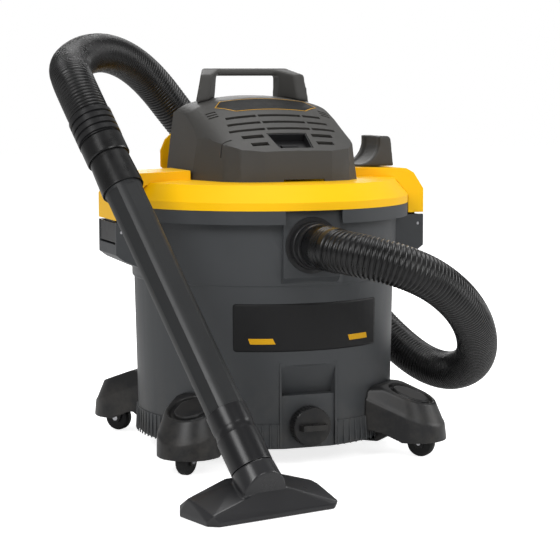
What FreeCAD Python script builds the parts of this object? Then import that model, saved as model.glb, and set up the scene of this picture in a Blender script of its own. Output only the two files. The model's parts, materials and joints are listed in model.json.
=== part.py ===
import FreeCAD, Part
import math
import os
import Sketcher
from FreeCAD import Placement, Rotation, Vector

doc = FreeCAD.newDocument("ShopVacuum")

# ---------------------------------------------------------------- driving sizes, mm and degrees

sizes = {
    # drum
    "wall": (3, "wall of the drum, the lid and the motor cover"),
    "floorHigh": (28, "underside of the drum floor above the ground"),
    "bandRadius": (203, "ribbed band round the foot of the drum"),
    "bandTop": (67, "top of the ribbed band"),
    "waistRadius": (201.5, "drum just above the ribbed band"),
    "stepHigh": (273, "step in the drum wall"),
    "stepRadius": (205.7, "drum just below the step"),
    "mouthRadius": (211.5, "outside of the drum wall at its mouth"),
    "rimRadius": (228.8, "outside of the rolled rim"),
    "rimLow": (368, "lower edge of the rolled rim"),
    "rimHigh": (388, "top of the rolled rim, where the lid sits"),
    # side lugs and latches
    "lugReach": (255.5, "outer face of the side lugs from the axis"),
    "lugHalf": (51.5, "half width of a side lug"),
    "lugLow": (311, "bottom of the outer face of the drum lug"),
    "lugGap": (3, "gap between the drum lug and the lid lug"),
    "latchLow": (331, "bottom of the latch recess"),
    "latchPin": (2.5, "radius of a latch pin"),
    "latchPinHigh": (350, "height of the latch pins"),
    "runGap": (0.05, "radial clearance of a running pin"),
    "easeGap": (0.4, "clearance beside a moving piece"),
    "seatGap": (0.3, "clearance between seated curved faces"),
    # inlet
    "bossFace": (215, "flat inlet boss from the axis"),
    "bossHalf": (45, "half width of the inlet boss"),
    "bossLow": (284, "bottom of the inlet boss"),
    "inletHigh": (336, "centre of the inlet"),
    "inletBore": (30.5, "bore of the inlet ring"),
    "inletRing": (36, "outside of the inlet ring"),
    "inletReach": (15, "inlet ring beyond the boss"),
    # drain
    "drainHigh": (63, "centre of the drain"),
    "recessHalf": (43, "half width of the front recess"),
    "recessShelf": (109, "shelf between the drain flat and the sloped pocket"),
    "recessTop": (156, "top of the front recess"),
    "recessFace": (195, "drain flat from the axis"),
    "recessDeep": (180, "deepest line of the sloped pocket from the axis"),
    "spoutBore": (17.5, "bore of the drain spout"),
    "spoutRadius": (21.5, "outside of the drain spout"),
    "spoutReach": (16, "drain spout beyond the flat"),
    "capRadius": (30, "outside of the drain cap"),
    "capTop": (5, "thickness of the drain cap's face"),
    "sealThick": (2, "thickness of the drain washer"),
    # feet and castors
    "footNose": (259, "centre of the rounded end of a foot from the axis"),
    "footRound": (48.5, "radius of the rounded end of a foot"),
    "footLean": (3, "turn of a foot's sides from straight out, degrees"),
    "footLow": (27, "bottom edge of a foot's skirt"),
    "footStep": (40, "underside of a foot beside the drum"),
    "footCrease": (50, "crease between skirt and dome at the nose"),
    "footFall": (21, "fall of that crease towards the nose, degrees"),
    "footHigh": (111, "top of a foot"),
    "footFlat": (12, "level top of a foot beyond the drum"),
    "padFall": (20, "fall of a foot's top towards the nose, degrees"),
    "padPlace": (252, "centre of the oval pad on a foot from the axis"),
    "padRadius": (32, "outside of the groove round that pad"),
    "padGroove": (8, "width of that groove"),
    "footWall": (3, "wall of a foot's skirt"),
    "tongueIn": (150, "inner end of the tongue under the drum floor"),
    "stemPlace": (258, "castor stem from the axis"),
    "stemRadius": (5.5, "castor stem"),
    "stemTop": (84, "top of the castor stem"),
    "wheelRadius": (21.5, "castor wheel"),
    "wheelHalf": (8.5, "half width of a castor wheel"),
    "wheelTrail": (11, "castor trail"),
    "axleRadius": (3, "castor axle"),
    "forkPlate": (3, "thickness of a fork cheek"),
    # lid
    "lidRadius": (229, "rim of the lid"),
    "lidCrease": (400, "top of the upright rim of the lid"),
    "shoulderRadius": (208, "upper crease of the sloped band"),
    "shoulderHigh": (425, "height of the upper crease"),
    "deckHigh": (427.5, "deck under the motor cover"),
    "deckRadius": (172, "edge of the flat deck"),
    "deckBore": (78, "opening in the deck"),
    "skirtLow": (376, "bottom of the lid's locating skirt"),
    "skirtGap": (1, "clearance of the locating skirt in the drum mouth"),
    "plateauHigh": (442, "top of the side plateaus"),
    "plateauIn": (136.5, "inner end of the side plateaus"),
    # motor cover
    "coverFront": (160, "front face of the motor cover from the axis"),
    "coverBack": (112, "rear face of the motor cover from the axis"),
    "coverTop": (556, "flat top of the motor cover"),
    "coverHalf": (104, "crease of the crowned roof from the axis"),
    "coverCrown": (14, "fall of the crowned roof at that crease"),
    "coverSplay": (6, "turn of the roof's crease from straight ahead, degrees"),
    "ventSlot": (7.5, "width of a vent slot"),
    "recessAlong": (12, "lower edge of the switch recess up the slope"),
    "ventLow": (474, "front edge of the sloped vent face"),
    "ventSlope": (25.3, "slope of the vent face, degrees"),
    "handleHigh": (599, "top of the carrying handle"),
    "handleFront": (42, "front of the handle's legs"),
    "handleBack": (107, "back of the handle"),
    "handleWide": (99, "half width across the front of the legs at their foot"),
    "gripThick": (12, "thickness of the grip"),
    "gripDeep": (24, "depth of the grip"),
    # motor and fan
    "fanRadius": (68, "impeller"),
    "fanLow": (436, "underside of the impeller"),
    "fanHigh": (458, "top of the impeller"),
    "fanCase": (73, "inside of the fan housing"),
    "fanCaseTop": (465, "top of the fan housing"),
    "shaftRadius": (4, "motor shaft"),
    "bearingRadius": (11, "outside of a bearing"),
    "bearingHigh": (7, "height of a bearing"),
    "statorRadius": (45, "outside of the stator"),
    "statorBore": (27, "bore of the stator"),
    "statorLow": (476, "underside of the stator"),
    "statorHigh": (510, "top of the stator"),
    "frameTop": (527, "top of the motor frame"),
    # filter
    "cageRadius": (70, "outside of the filter cage"),
    "cageLow": (232, "underside of the filter cage"),
    "filterRadius": (95, "outside of the filter cartridge"),
    "filterLow": (228, "underside of the cartridge"),
    "filterHigh": (372, "top of the cartridge"),
    "filterGap": (1, "clearance of the cartridge on the cage"),
    "floatRadius": (40, "float"),
    "floatHigh": (42, "height of the float"),
    # blower port
    "portBore": (29, "bore of the blower port"),
    "portRadius": (33, "outside of the blower port"),
    "portHigh": (466, "centre of the blower port"),
    "portAside": (78, "centre of the blower port from the axis"),
    "portReach": (34, "blower port beyond the rear flange"),
    "flangeThick": (4, "rear flange"),
    # accessory cradle
    "cradleCentre": (152, "centre line of the accessory cradle from the axis"),
    "cradleRadius": (36.5, "channel of the accessory cradle"),
    "cradleOut": (213, "outer side of the cradle"),
    "cradleTop": (490, "top of the cradle's post"),
    "cradleFront": (-30, "front end of the cradle"),
    "cradleBack": (49, "rear end of the cradle"),
    # hose, wand and nozzle
    "hoseRadius": (31.5, "hose over its ribs"),
    "cuffWall": (4, "wall of the hose cuffs"),
    "wandRadius": (28.5, "outside of the wand"),
    "wandWall": (2.3, "wall of the wand"),
    "couplerLong": (89, "length of the coupler at the foot of the wand"),
    "wandFlat": (1.3, "depth of the wand's long flats"),
    "wandLength": (396, "length of the wand"),
    "neckRadius": (30, "outside of the nozzle neck"),
    "nozzleLong": (104, "half length of the nozzle"),
    "nozzleDeep": (47, "half depth of the nozzle"),
    "nozzleCorner": (11, "cut of the nozzle's corners"),
    "nozzleTurn": (13.9, "turn of the nozzle on the floor, degrees"),
    "nozzleSkirt": (16, "height of the nozzle's upright edge"),
    "nozzleHigh": (46, "top of the nozzle's hood"),
}

sheet = doc.addObject("Spreadsheet::Sheet", "Sizes")
for row, (alias, (value, note)) in enumerate(sizes.items(), 1):
    sheet.set(f"A{row}", note)
    sheet.set(f"B{row}", str(value))
    sheet.setAlias(f"B{row}", alias)
doc.recompute()


class Size:
    # a number together with the spreadsheet expression that it comes from
    def __init__(self, value, text):
        self.value = value
        self.text = text

    def __float__(self):
        return float(self.value)

    def __add__(self, other):
        other = size(other)
        return Size(self.value + other.value, f"({self.text} + {other.text})")

    def __sub__(self, other):
        other = size(other)
        return Size(self.value - other.value, f"({self.text} - {other.text})")

    def __mul__(self, other):
        other = size(other)
        return Size(self.value * other.value, f"({self.text} * {other.text})")

    def __truediv__(self, other):
        other = size(other)
        return Size(self.value / other.value, f"({self.text} / {other.text})")

    def __neg__(self):
        return Size(-self.value, f"(0 - {self.text})")

    def __radd__(self, other):
        return size(other) + self

    def __rsub__(self, other):
        return size(other) - self

    def __rmul__(self, other):
        return size(other) * self


def size(value):
    return value if isinstance(value, Size) else Size(float(value), repr(float(value)))


def tangent(angle):
    return Size(math.tan(math.radians(angle.value)), f"tan({angle.text} * 1 deg)")


def sine(angle):
    return Size(math.sin(math.radians(angle.value)), f"sin({angle.text} * 1 deg)")


def cosine(angle):
    return Size(math.cos(math.radians(angle.value)), f"cos({angle.text} * 1 deg)")


class Sizes:
    pass


s = Sizes()
for alias, (value, note) in sizes.items():
    setattr(s, alias, Size(float(value), f"Sizes.{alias}"))


# ---------------------------------------------------------------- drawing tools

def bindSize(item, name, value):
    item.setExpression(name, size(value).text)


def poly(*points):
    return ("poly", [(size(x), size(y)) for x, y in points])


def ring(x, y, radius):
    return ("ring", size(x), size(y), size(radius))


def rect(x0, y0, x1, y1):
    return poly((x0, y0), (x1, y0), (x1, y1), (x0, y1))


def place(item, at=(0, 0, 0), turn=None):
    item.Placement = Placement(Vector(*[float(value) for value in at]), turn or Rotation())
    for name, value in zip("xyz", at):
        if isinstance(value, Size):
            bindSize(item, f"Placement.Base.{name}", value)
    return item


def holdPoint(drawing, geometry, point, x, y):
    # fixes a point of the drawing at its place from the origin
    for kind, value in (("DistanceX", x), ("DistanceY", y)):
        number = drawing.addConstraint(Sketcher.Constraint(kind, -1, 1, geometry, point, value.value))
        drawing.setExpression(f"Constraints[{number}]", value.text)


def drawRing(drawing, x, y, radius):
    circle = Part.Circle(Vector(x.value, y.value, 0), Vector(0, 0, 1), radius.value)
    geometry = drawing.addGeometry(circle)
    holdPoint(drawing, geometry, 3, x, y)
    number = drawing.addConstraint(Sketcher.Constraint("Radius", geometry, radius.value))
    drawing.setExpression(f"Constraints[{number}]", radius.text)


def drawPoly(drawing, points):
    lines = []
    for (x, y), (nextX, nextY) in zip(points, points[1:] + points[:1]):
        line = Part.LineSegment(Vector(x.value, y.value, 0), Vector(nextX.value, nextY.value, 0))
        lines.append(drawing.addGeometry(line))
    for line, following in zip(lines, lines[1:] + lines[:1]):
        drawing.addConstraint(Sketcher.Constraint("Coincident", line, 2, following, 1))
    for line, (x, y) in zip(lines, points):
        holdPoint(drawing, line, 1, x, y)


class Piece:
    # a PartDesign body made of revolved profiles and slabs
    def __init__(self, label, at=(0, 0, 0), turn=None):
        self.label = label
        self.body = doc.addObject("PartDesign::Body", label)
        self.body.Label = label
        self.steps = []
        place(self.body, at, turn)

    def sketch(self, plane, loops, offset=0.0):
        drawing = self.body.newObject("Sketcher::SketchObject", f"{self.label}_sketch")
        origin = [part for part in self.body.Origin.OriginFeatures if part.Role == f"{plane}_Plane"]
        drawing.AttachmentSupport = [(origin[0], "")]
        drawing.MapMode = "FlatFace"
        drawing.AttachmentOffset = Placement(Vector(0, 0, float(size(offset))), Rotation())
        if isinstance(offset, Size):
            bindSize(drawing, "AttachmentOffset.Base.z", offset)
        for loop in loops:
            if loop[0] == "ring":
                drawRing(drawing, *loop[1:])
            else:
                drawPoly(drawing, loop[1])
        return drawing

    def step(self, kind, drawing):
        feature = self.body.newObject(f"PartDesign::{kind}", f"{self.label}_{kind.lower()}")
        feature.Profile = drawing
        self.steps.append(feature)
        return feature

    def turned(self, *points, cut=False):
        # a half profile, radius and height, turned round the body's own Z axis
        drawing = self.sketch("XZ", [poly(*points)])
        feature = self.step("Groove" if cut else "Revolution", drawing)
        feature.ReferenceAxis = (drawing, ["V_Axis"])
        feature.Angle = 360
        return feature

    def slab(self, plane, loops, low, high, cut=False, draft=None):
        # a drawing carried along its plane's axis from low to high
        low, high = size(low), size(high)
        if plane == "XZ":
            offset = -low if cut else -high
        else:
            offset = high if cut else low
        feature = self.step("Pocket" if cut else "Pad", self.sketch(plane, loops, offset))
        feature.Length = (high - low).value
        bindSize(feature, "Length", high - low)
        if draft is not None:
            feature.TaperAngle = -draft.value
            bindSize(feature, "TaperAngle", -draft)
        return feature

    def polar(self, features, count):
        pattern = self.body.newObject("PartDesign::PolarPattern", f"{self.label}_pattern")
        pattern.Originals = features
        axis = [part for part in self.body.Origin.OriginFeatures if part.Role == "Z_Axis"][0]
        pattern.Axis = (axis, [""])
        pattern.Angle = 360
        pattern.Occurrences = int(float(size(count)))
        bindSize(pattern, "Occurrences", count)
        self.body.Tip = pattern
        self.steps.append(pattern)
        return pattern

    def row(self, features, length, count):
        # repeats features along the body's own Y axis
        pattern = self.body.newObject("PartDesign::LinearPattern", f"{self.label}_row_pattern")
        pattern.Originals = features
        pattern.Direction = (features[0].Profile[0], ["H_Axis"])
        pattern.Length = length
        pattern.Occurrences = count
        self.body.Tip = pattern
        self.steps.append(pattern)
        return pattern

    def mirror(self, features, plane):
        pattern = self.body.newObject("PartDesign::Mirrored", f"{self.label}_mirror")
        pattern.Originals = features
        origin = [part for part in self.body.Origin.OriginFeatures if part.Role == f"{plane}_Plane"][0]
        pattern.MirrorPlane = (origin, [""])
        self.body.Tip = pattern
        self.steps.append(pattern)
        return pattern


def primitive(kind, label, at=(0, 0, 0), turn=None, **values):
    item = doc.addObject(f"Part::{kind}", label)
    item.Label = label
    for name, value in values.items():
        setattr(item, name, float(size(value)))
        bindSize(item, name, value)
    return place(item, at, turn)


def joined(label, items):
    item = doc.addObject("Part::MultiFuse", label)
    item.Label = label
    item.Shapes = items
    return item


def carved(label, base, tool):
    item = doc.addObject("Part::Cut", label)
    item.Label = label
    item.Base = base
    item.Tool = tool
    return item


def kept(label, first, second):
    item = doc.addObject("Part::MultiCommon", label)
    item.Label = label
    item.Shapes = [first, second]
    return item


nodes = []


def node(item):
    nodes.append(item.body if isinstance(item, Piece) else item)
    return item


sideways = Rotation(Vector(1, 0, 0), 90)      # own Z points to the front, -Y
backwards = Rotation(Vector(1, 0, 0), -90)    # own Z points to the back, +Y
cornerAngles = {"front_left": 225, "front_right": 315, "rear_right": 45, "rear_left": 135}


# ---------------------------------------------------------------- drum

def makeDrum():
    drum = Piece("drum")
    edge = 5
    drum.turned((0, s.floorHigh), (s.bandRadius - edge, s.floorHigh), (s.bandRadius, s.floorHigh + edge),
                (s.bandRadius, s.bandTop), (s.waistRadius, s.bandTop), (s.stepRadius, s.stepHigh),
                (s.stepRadius + s.wall, s.stepHigh + s.wall), (s.mouthRadius, s.rimHigh - s.wall),
                (s.rimRadius - s.wall, s.rimHigh - s.wall), (s.rimRadius - s.wall, s.rimLow),
                (s.rimRadius, s.rimLow), (s.rimRadius, s.rimHigh), (0, s.rimHigh))
    # side lugs, each with a sloping underside
    lugTop = s.rimLow - s.lugGap
    for side in (1, -1):
        drum.slab("XZ", [poly((side * s.stepRadius, s.lugLow - 22), (side * (s.lugReach - 12), s.lugLow - 5),
                              (side * s.lugReach, s.lugLow + 4), (side * s.lugReach, lugTop),
                              (side * s.stepRadius, lugTop))], -s.lugHalf, s.lugHalf)
    # flat inlet boss up to the rim
    drum.slab("YZ", [poly((-s.stepRadius + s.wall, s.bossLow - 6), (-s.bossFace, s.bossLow + 4),
                          (-s.bossFace, s.rimHigh), (-s.stepRadius + s.wall, s.rimHigh))],
              -s.bossHalf, s.bossHalf)
    drum.slab("XY", [rect(-s.bossHalf, -s.rimRadius - 5, s.bossHalf, -s.bossFace)],
              s.rimLow - 2, s.rimHigh + 2, cut=True)
    # the hollow inside
    inside = s.waistRadius - s.wall
    drum.turned((0, s.floorHigh + s.wall), (inside, s.floorHigh + s.wall), (inside, s.bandTop),
                (s.stepRadius - s.wall, s.stepHigh + s.wall), (s.mouthRadius - s.wall, s.rimLow),
                (s.mouthRadius - s.wall, s.rimHigh + 1), (0, s.rimHigh + 1), cut=True)
    # recess at the foot of the front, open at its bottom, with its backing wall inside
    back = s.recessHalf + s.wall
    drum.slab("YZ", [poly((-s.waistRadius + 2, s.floorHigh + s.wall), (-s.recessFace + s.wall, s.floorHigh + s.wall),
                          (-s.recessFace + s.wall, s.recessShelf - s.wall),
                          (-s.recessDeep + s.wall, s.recessShelf - s.wall),
                          (-s.recessDeep + s.wall, s.recessShelf), (-s.waistRadius + 2, s.recessTop + s.wall))],
              -back, back)
    drum.slab("YZ", [poly((-s.bandRadius - 5, s.floorHigh - 1), (-s.recessFace, s.floorHigh - 1),
                          (-s.recessFace, s.recessShelf), (-s.recessDeep, s.recessShelf),
                          (-s.waistRadius, s.recessTop), (-s.bandRadius - 5, s.recessTop))],
              -s.recessHalf, s.recessHalf, cut=True)
    # holes for the inlet ring and the drain spout
    drum.slab("XZ", [ring(0, s.inletHigh, s.inletBore + s.wall + s.seatGap)],
              -s.bossFace - 2, -s.stepRadius + 15, cut=True)
    drum.slab("XZ", [ring(0, s.drainHigh, s.spoutRadius + s.seatGap)],
              -s.recessFace - 2, -s.recessFace + s.wall + 2, cut=True)
    # open latch housings with pin holes through their cheeks
    cheek = s.lugHalf - 5.5
    for side in (1, -1):
        drum.slab("XZ", [poly((side * (s.lugReach - 20), s.latchLow), (side * (s.lugReach + 2), s.latchLow),
                              (side * (s.lugReach + 2), lugTop + 1), (side * (s.lugReach - 20), lugTop + 1))],
                  -cheek, cheek, cut=True)
        drum.slab("XZ", [ring(side * (s.lugReach - 9), s.latchPinHigh, s.latchPin + 0.02)],
                  -s.lugHalf - 1, s.lugHalf + 1, cut=True)
    return node(drum)


def makeLatchPins():
    length = s.lugHalf * 2 - 3
    pins = [primitive("Cylinder", f"latch_pin_{side}", (x, length / 2, s.latchPinHigh), sideways,
                      Radius=s.latchPin, Height=length)
            for side, x in (("left", 9 - s.lugReach), ("right", s.lugReach - 9))]
    return node(joined("latch_pins", pins))


def makeLatch(label, side):
    # a rocking lever: thumb plate outside, hooked arm reaching up into the lid's lug
    half = s.lugHalf - 5.5 - s.easeGap
    turn = Rotation() if side > 0 else Rotation(Vector(0, 0, 1), 180)
    latch = Piece(label, turn=turn)
    face = s.lugReach - 1
    low = s.latchLow + 3
    top = s.rimLow - s.lugGap - 1
    latch.slab("XZ", [poly((face - 4, low), (face, low), (face, top), (face - 4, top))], -half, half)
    latch.slab("XZ", [ring(s.lugReach - 9, s.latchPinHigh, 5)], -half, half)
    latch.slab("XZ", [poly((face - 9, s.latchPinHigh), (face - 3, s.latchPinHigh), (face - 3, top - 4),
                           (face - 6, top + 22), (face - 4, top + 22), (face - 4, top + 26),
                           (face - 9, top + 26))], -28, 28)
    latch.slab("XZ", [ring(s.lugReach - 9, s.latchPinHigh, s.latchPin + s.runGap)],
               -half - 1, half + 1, cut=True)
    return node(latch)


# ---------------------------------------------------------------- inlet and drain

def makeInlet():
    port = Piece("inlet_port", (0, -s.bossFace, s.inletHigh), sideways)
    spigot = s.inletBore + s.wall
    port.turned((s.inletBore, -18), (spigot, -18), (spigot, 0), (s.inletRing + 6, 0), (s.inletRing + 6, 2.5),
                (s.inletRing, 2.5), (s.inletRing, s.inletReach - 2), (s.inletRing - 2, s.inletReach),
                (s.inletBore, s.inletReach))
    node(port)
    # hood behind the inlet that turns the air down along the drum wall
    hood = Piece("inlet_deflector", (0, -s.bossFace, s.inletHigh), sideways)
    hood.turned((0, -66), (spigot + 4, -66), (spigot + 4, -16), (spigot + s.seatGap, -16),
                (spigot + s.seatGap, -63), (0, -63))
    hood.slab("XY", [rect(-spigot - 6, -spigot - 6, spigot + 6, -8)], -62, -24, cut=True)
    node(hood)


def makeDrain():
    at = (0, -s.recessFace, s.drainHigh)
    spout = Piece("drain_spout", at, sideways)
    spout.turned((s.spoutBore, -8), (s.spoutRadius, -8), (s.spoutRadius, 0), (s.spoutRadius + 6, 0),
                 (s.spoutRadius + 6, 2.5), (s.spoutRadius, 2.5), (s.spoutRadius, s.spoutReach),
                 (s.spoutBore, s.spoutReach))
    node(spout)
    washer = Piece("drain_washer", at, sideways)
    washer.turned((s.spoutBore + 0.5, s.spoutReach), (s.spoutRadius, s.spoutReach),
                  (s.spoutRadius, s.spoutReach + s.sealThick), (s.spoutBore + 0.5, s.spoutReach + s.sealThick))
    node(washer)
    cap = Piece("drain_cap", at, sideways)
    low = 3.5
    face = s.spoutReach + s.sealThick
    top = face + s.capTop
    cap.turned((s.spoutRadius + s.easeGap, low), (s.capRadius, low), (s.capRadius, top - 2),
               (s.capRadius - 2, top), (0, top), (0, face), (s.spoutRadius + s.easeGap, face))
    grip = 22
    cap.slab("XZ", [poly((-grip, top), (grip, top), (grip - 3, top + 12), (3 - grip, top + 12)),
                    rect(-grip + 5, top + 1, -2, top + 8), rect(2, top + 1, grip - 5, top + 8)], -4.5, 4.5)
    groove = cap.slab("XY", [ring(s.capRadius + 0.6, 0, 1.6)], low - 1, top + 1, cut=True)
    cap.polar([groove], 36)
    node(cap)


# ---------------------------------------------------------------- feet and castors

def footOutline(corner, name, back, nose, turn, high, slope=0.0, shift=0.0):
    # straight sides running out tangent to a round nose, drawn on a level or sloping plane
    drawing = doc.addObject("Sketcher::SketchObject", f"foot_{name}_{corner}")
    tilt = turn.multiply(Rotation(Vector(0, 1, 0), float(slope)))
    at = turn.multVec(Vector(float(s.footNose - shift), 0, 0))
    place(drawing, (at.x, at.y, high), tilt)
    back = back + shift
    tipX, tipY = nose * sine(s.footLean), nose * cosine(s.footLean)
    wide = tipY + (tipX - back) * tangent(s.footLean)
    side = [Part.LineSegment(Vector(back.value, -wide.value, 0), Vector(tipX.value, -tipY.value, 0)),
            Part.ArcOfCircle(Part.Circle(Vector(0, 0, 0), Vector(0, 0, 1), nose.value),
                             math.atan2(-tipY.value, tipX.value), math.atan2(tipY.value, tipX.value)),
            Part.LineSegment(Vector(tipX.value, tipY.value, 0), Vector(back.value, wide.value, 0)),
            Part.LineSegment(Vector(back.value, wide.value, 0), Vector(back.value, -wide.value, 0))]
    for line in side:
        drawing.addGeometry(line)
    for line in range(4):
        drawing.addConstraint(Sketcher.Constraint("Coincident", line, 2, (line + 1) % 4, 1))
    holdPoint(drawing, 0, 1, back, -wide)
    holdPoint(drawing, 2, 2, back, wide)
    holdPoint(drawing, 1, 3, size(0), size(0))
    number = drawing.addConstraint(Sketcher.Constraint("Radius", 1, nose.value))
    drawing.setExpression(f"Constraints[{number}]", nose.text)
    for point, value in ((1, -tipY), (2, tipY)):
        number = drawing.addConstraint(Sketcher.Constraint("DistanceY", -1, 1, 1, point, value.value))
        drawing.setExpression(f"Constraints[{number}]", value.text)
    return drawing


def footLoft(corner, name, sections):
    loft = doc.addObject("Part::Loft", f"foot_{name}_{corner}")
    loft.Sections = sections
    loft.Solid = True
    loft.Ruled = True
    return loft


def footSide(label, turn, points, half):
    # a slab across the whole foot, drawn on its side view
    slab = Piece(label, turn=turn)
    slab.slab("XZ", [poly(*points)], -half, half)
    return slab.body


def makeFoot(corner, angle):
    turn = Rotation(Vector(0, 0, 1), angle)
    inside = s.bandRadius - 18
    back = inside - s.footNose
    end = s.footNose + s.footRound + 10
    middle = s.footCrease + s.footRound * tangent(s.footFall)
    slope = float(s.footFall)
    # skirt below a sloping crease, and a dome leaning in above it
    skirt = footLoft(corner, "skirt", [footOutline(corner, "base", back, s.footRound, turn, s.footLow),
                                       footOutline(corner, "crease", back, s.footRound, turn, middle, slope)])
    dome = footLoft(corner, "dome", [footOutline(corner, "waist", back, s.footRound - 1.5, turn, middle, slope),
                                     footOutline(corner, "crown", back, s.footRound - 12, turn,
                                                 s.footHigh + 5, slope * 0.5, 16)])
    form = joined(f"foot_form_{corner}", [skirt, dome])
    half = size(s.footRound + 60)
    above = footSide(f"foot_above_{corner}", turn,
                     [(inside - 1, s.footHigh), (s.bandRadius + s.footFlat, s.footHigh),
                      (end, s.footHigh - (end - s.bandRadius - s.footFlat) * tangent(s.padFall)),
                      (end, s.footHigh + 50), (inside - 1, s.footHigh + 50)], half)
    # the underside steps up near the drum, clear of the ribbed band
    below = footSide(f"foot_below_{corner}", turn,
                     [(inside - 1, s.footLow - 2), (s.bandRadius + 51, s.footLow - 2),
                      (s.bandRadius + 51, s.footLow), (s.bandRadius + 20, s.footStep),
                      (inside - 1, s.footStep + 5)], half)
    # both sides of the top fall away beside the drum
    shoulders = Piece(f"foot_shoulders_{corner}", turn=turn)
    shoulders.slab("YZ", [poly((-75, s.footHigh - 19), (-15, s.footHigh + 9), (15, s.footHigh + 9),
                               (75, s.footHigh - 19), (75, s.footHigh + 40), (-75, s.footHigh + 40))],
                   inside - 1, end)
    seat = joined(f"foot_seat_{corner}", [
        primitive("Cylinder", f"foot_seat_low_{corner}", (0, 0, s.floorHigh), Radius=s.bandRadius + s.seatGap,
                  Height=s.bandTop - s.floorHigh + 0.5),
        primitive("Cone", f"foot_seat_high_{corner}", (0, 0, s.bandTop), Radius1=s.waistRadius + s.seatGap,
                  Radius2=s.stepRadius + s.seatGap, Height=s.stepHigh - s.bandTop)])
    hollow = footLoft(corner, "hollow", [footOutline(corner, "mouth", back + 12, s.footRound - s.footWall,
                                                     turn, s.footLow - 1),
                                         footOutline(corner, "roof", back + 12, s.footRound - s.footWall,
                                                     turn, middle - s.footWall, slope)])
    keep = primitive("Cylinder", f"foot_inner_{corner}", (0, 0, s.footLow - 2), Height=s.footHigh,
                     Radius=s.bandRadius + s.seatGap + s.footWall)
    stem = primitive("Cylinder", f"foot_stem_{corner}", turn=turn, Radius=s.stemRadius, Height=s.stemTop + 2)
    at = turn.multVec(Vector(float(s.stemPlace), 0, 0))
    place(stem, (at.x, at.y, 0), turn)
    # round groove in the falling top, which leaves a flush pad inside it
    tilted = turn.multiply(Rotation(Vector(0, 1, 0), float(s.padFall)))
    along = s.padPlace - s.bandRadius - s.footFlat
    centre = turn.multVec(Vector(float(s.padPlace), 0, float(s.footHigh - along * tangent(s.padFall))))
    deep = tilted.multVec(Vector(0, 0, -7))
    outer = Piece(f"pad_outside_{corner}", tuple(centre + deep), tilted)
    pad = Piece(f"pad_inside_{corner}", tuple(centre + deep * 1.2), tilted)
    for piece, radius, shift, high in ((outer, s.padRadius, 4, 11), (pad, s.padRadius - s.padGroove, 5, 13)):
        for x in (-shift, shift):
            piece.slab("XY", [ring(x, 0, radius)], 0, high)
        piece.slab("XY", [rect(-shift, -radius, shift, radius)], 0, high)
    cuts = joined(f"foot_cuts_{corner}", [above, below, seat, carved(f"foot_hollow_{corner}", hollow, keep), stem,
                                          shoulders.body, carved(f"pad_groove_{corner}", outer.body, pad.body)])
    tongue = Piece(f"foot_tongue_{corner}", turn=turn)
    inner = s.bandRadius + s.seatGap + s.footWall
    tongue.slab("XY", [rect(s.tongueIn, -28, inner, 28)], s.floorHigh - 6, s.floorHigh)
    tongue.slab("XZ", [poly((s.bandRadius + s.seatGap, s.floorHigh - 6), (inner, s.floorHigh - 6),
                            (inner + 22, s.footStep - 3), (inner + 22, s.footStep + 8),
                            (s.bandRadius + s.seatGap, s.footStep + 8))], -28, 28)
    tongue.slab("XY", [ring(s.tongueIn + 14, -18, 2.5), ring(s.tongueIn + 14, 18, 2.5)],
                s.floorHigh - 7, s.floorHigh + 1, cut=True)
    return node(joined(f"foot_{corner}", [carved(f"foot_shell_{corner}", form, cuts), tongue.body]))


def makeCastor(corner, angle):
    turn = Rotation(Vector(0, 0, 1), angle)
    wheelX = s.stemPlace + s.wheelTrail
    plateLow = s.wheelRadius * 2 + 2
    cheek = s.wheelHalf + s.easeGap
    reach = math.radians(angle)
    stemAt = (s.stemPlace * math.cos(reach), s.stemPlace * math.sin(reach), 0)
    fork = Piece(f"castor_fork_{corner}", stemAt, turn)
    fork.turned((0, plateLow), (13, plateLow), (13, plateLow + 4), (9, plateLow + 6),
                (s.stemRadius - s.runGap, plateLow + 6), (s.stemRadius - s.runGap, s.stemTop - 1),
                (s.stemRadius - 1, s.stemTop), (0, s.stemTop))
    leg = [poly((-10, plateLow + 4), (12, plateLow + 4), (s.wheelTrail + 7, s.wheelRadius + 2),
                (s.wheelTrail + 5, s.wheelRadius - 7), (s.wheelTrail - 5, s.wheelRadius - 7),
                (s.wheelTrail - 9, s.wheelRadius))]
    cheekPad = fork.slab("XZ", leg, cheek, cheek + s.forkPlate)
    fork.mirror([cheekPad], "XZ")
    fork.slab("XZ", [ring(s.wheelTrail, s.wheelRadius, s.axleRadius + 0.02)],
              -cheek - s.forkPlate - 1, cheek + s.forkPlate + 1, cut=True)
    node(fork)
    across = Rotation(Vector(0, 0, 1), angle).multiply(sideways)
    wheelAt = (wheelX * math.cos(reach), wheelX * math.sin(reach), s.wheelRadius)
    wheel = Piece(f"castor_wheel_{corner}", wheelAt, across)
    bore = s.axleRadius + s.runGap
    wheel.turned((bore, -s.wheelHalf), (s.wheelRadius - 3, -s.wheelHalf), (s.wheelRadius - 1, 2 - s.wheelHalf),
                 (s.wheelRadius, 4.5 - s.wheelHalf), (s.wheelRadius, s.wheelHalf - 4.5),
                 (s.wheelRadius - 1, s.wheelHalf - 2), (s.wheelRadius - 3, s.wheelHalf), (bore, s.wheelHalf))
    node(wheel)
    half = cheek + s.forkPlate
    axle = Piece(f"castor_axle_{corner}", wheelAt, across)
    axle.turned((0, -half - 1.5), (4.5, -half - 1.5), (4.5, -half), (s.axleRadius, -half),
                (s.axleRadius, half + 1), (0, half + 1))
    node(axle)


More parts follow.
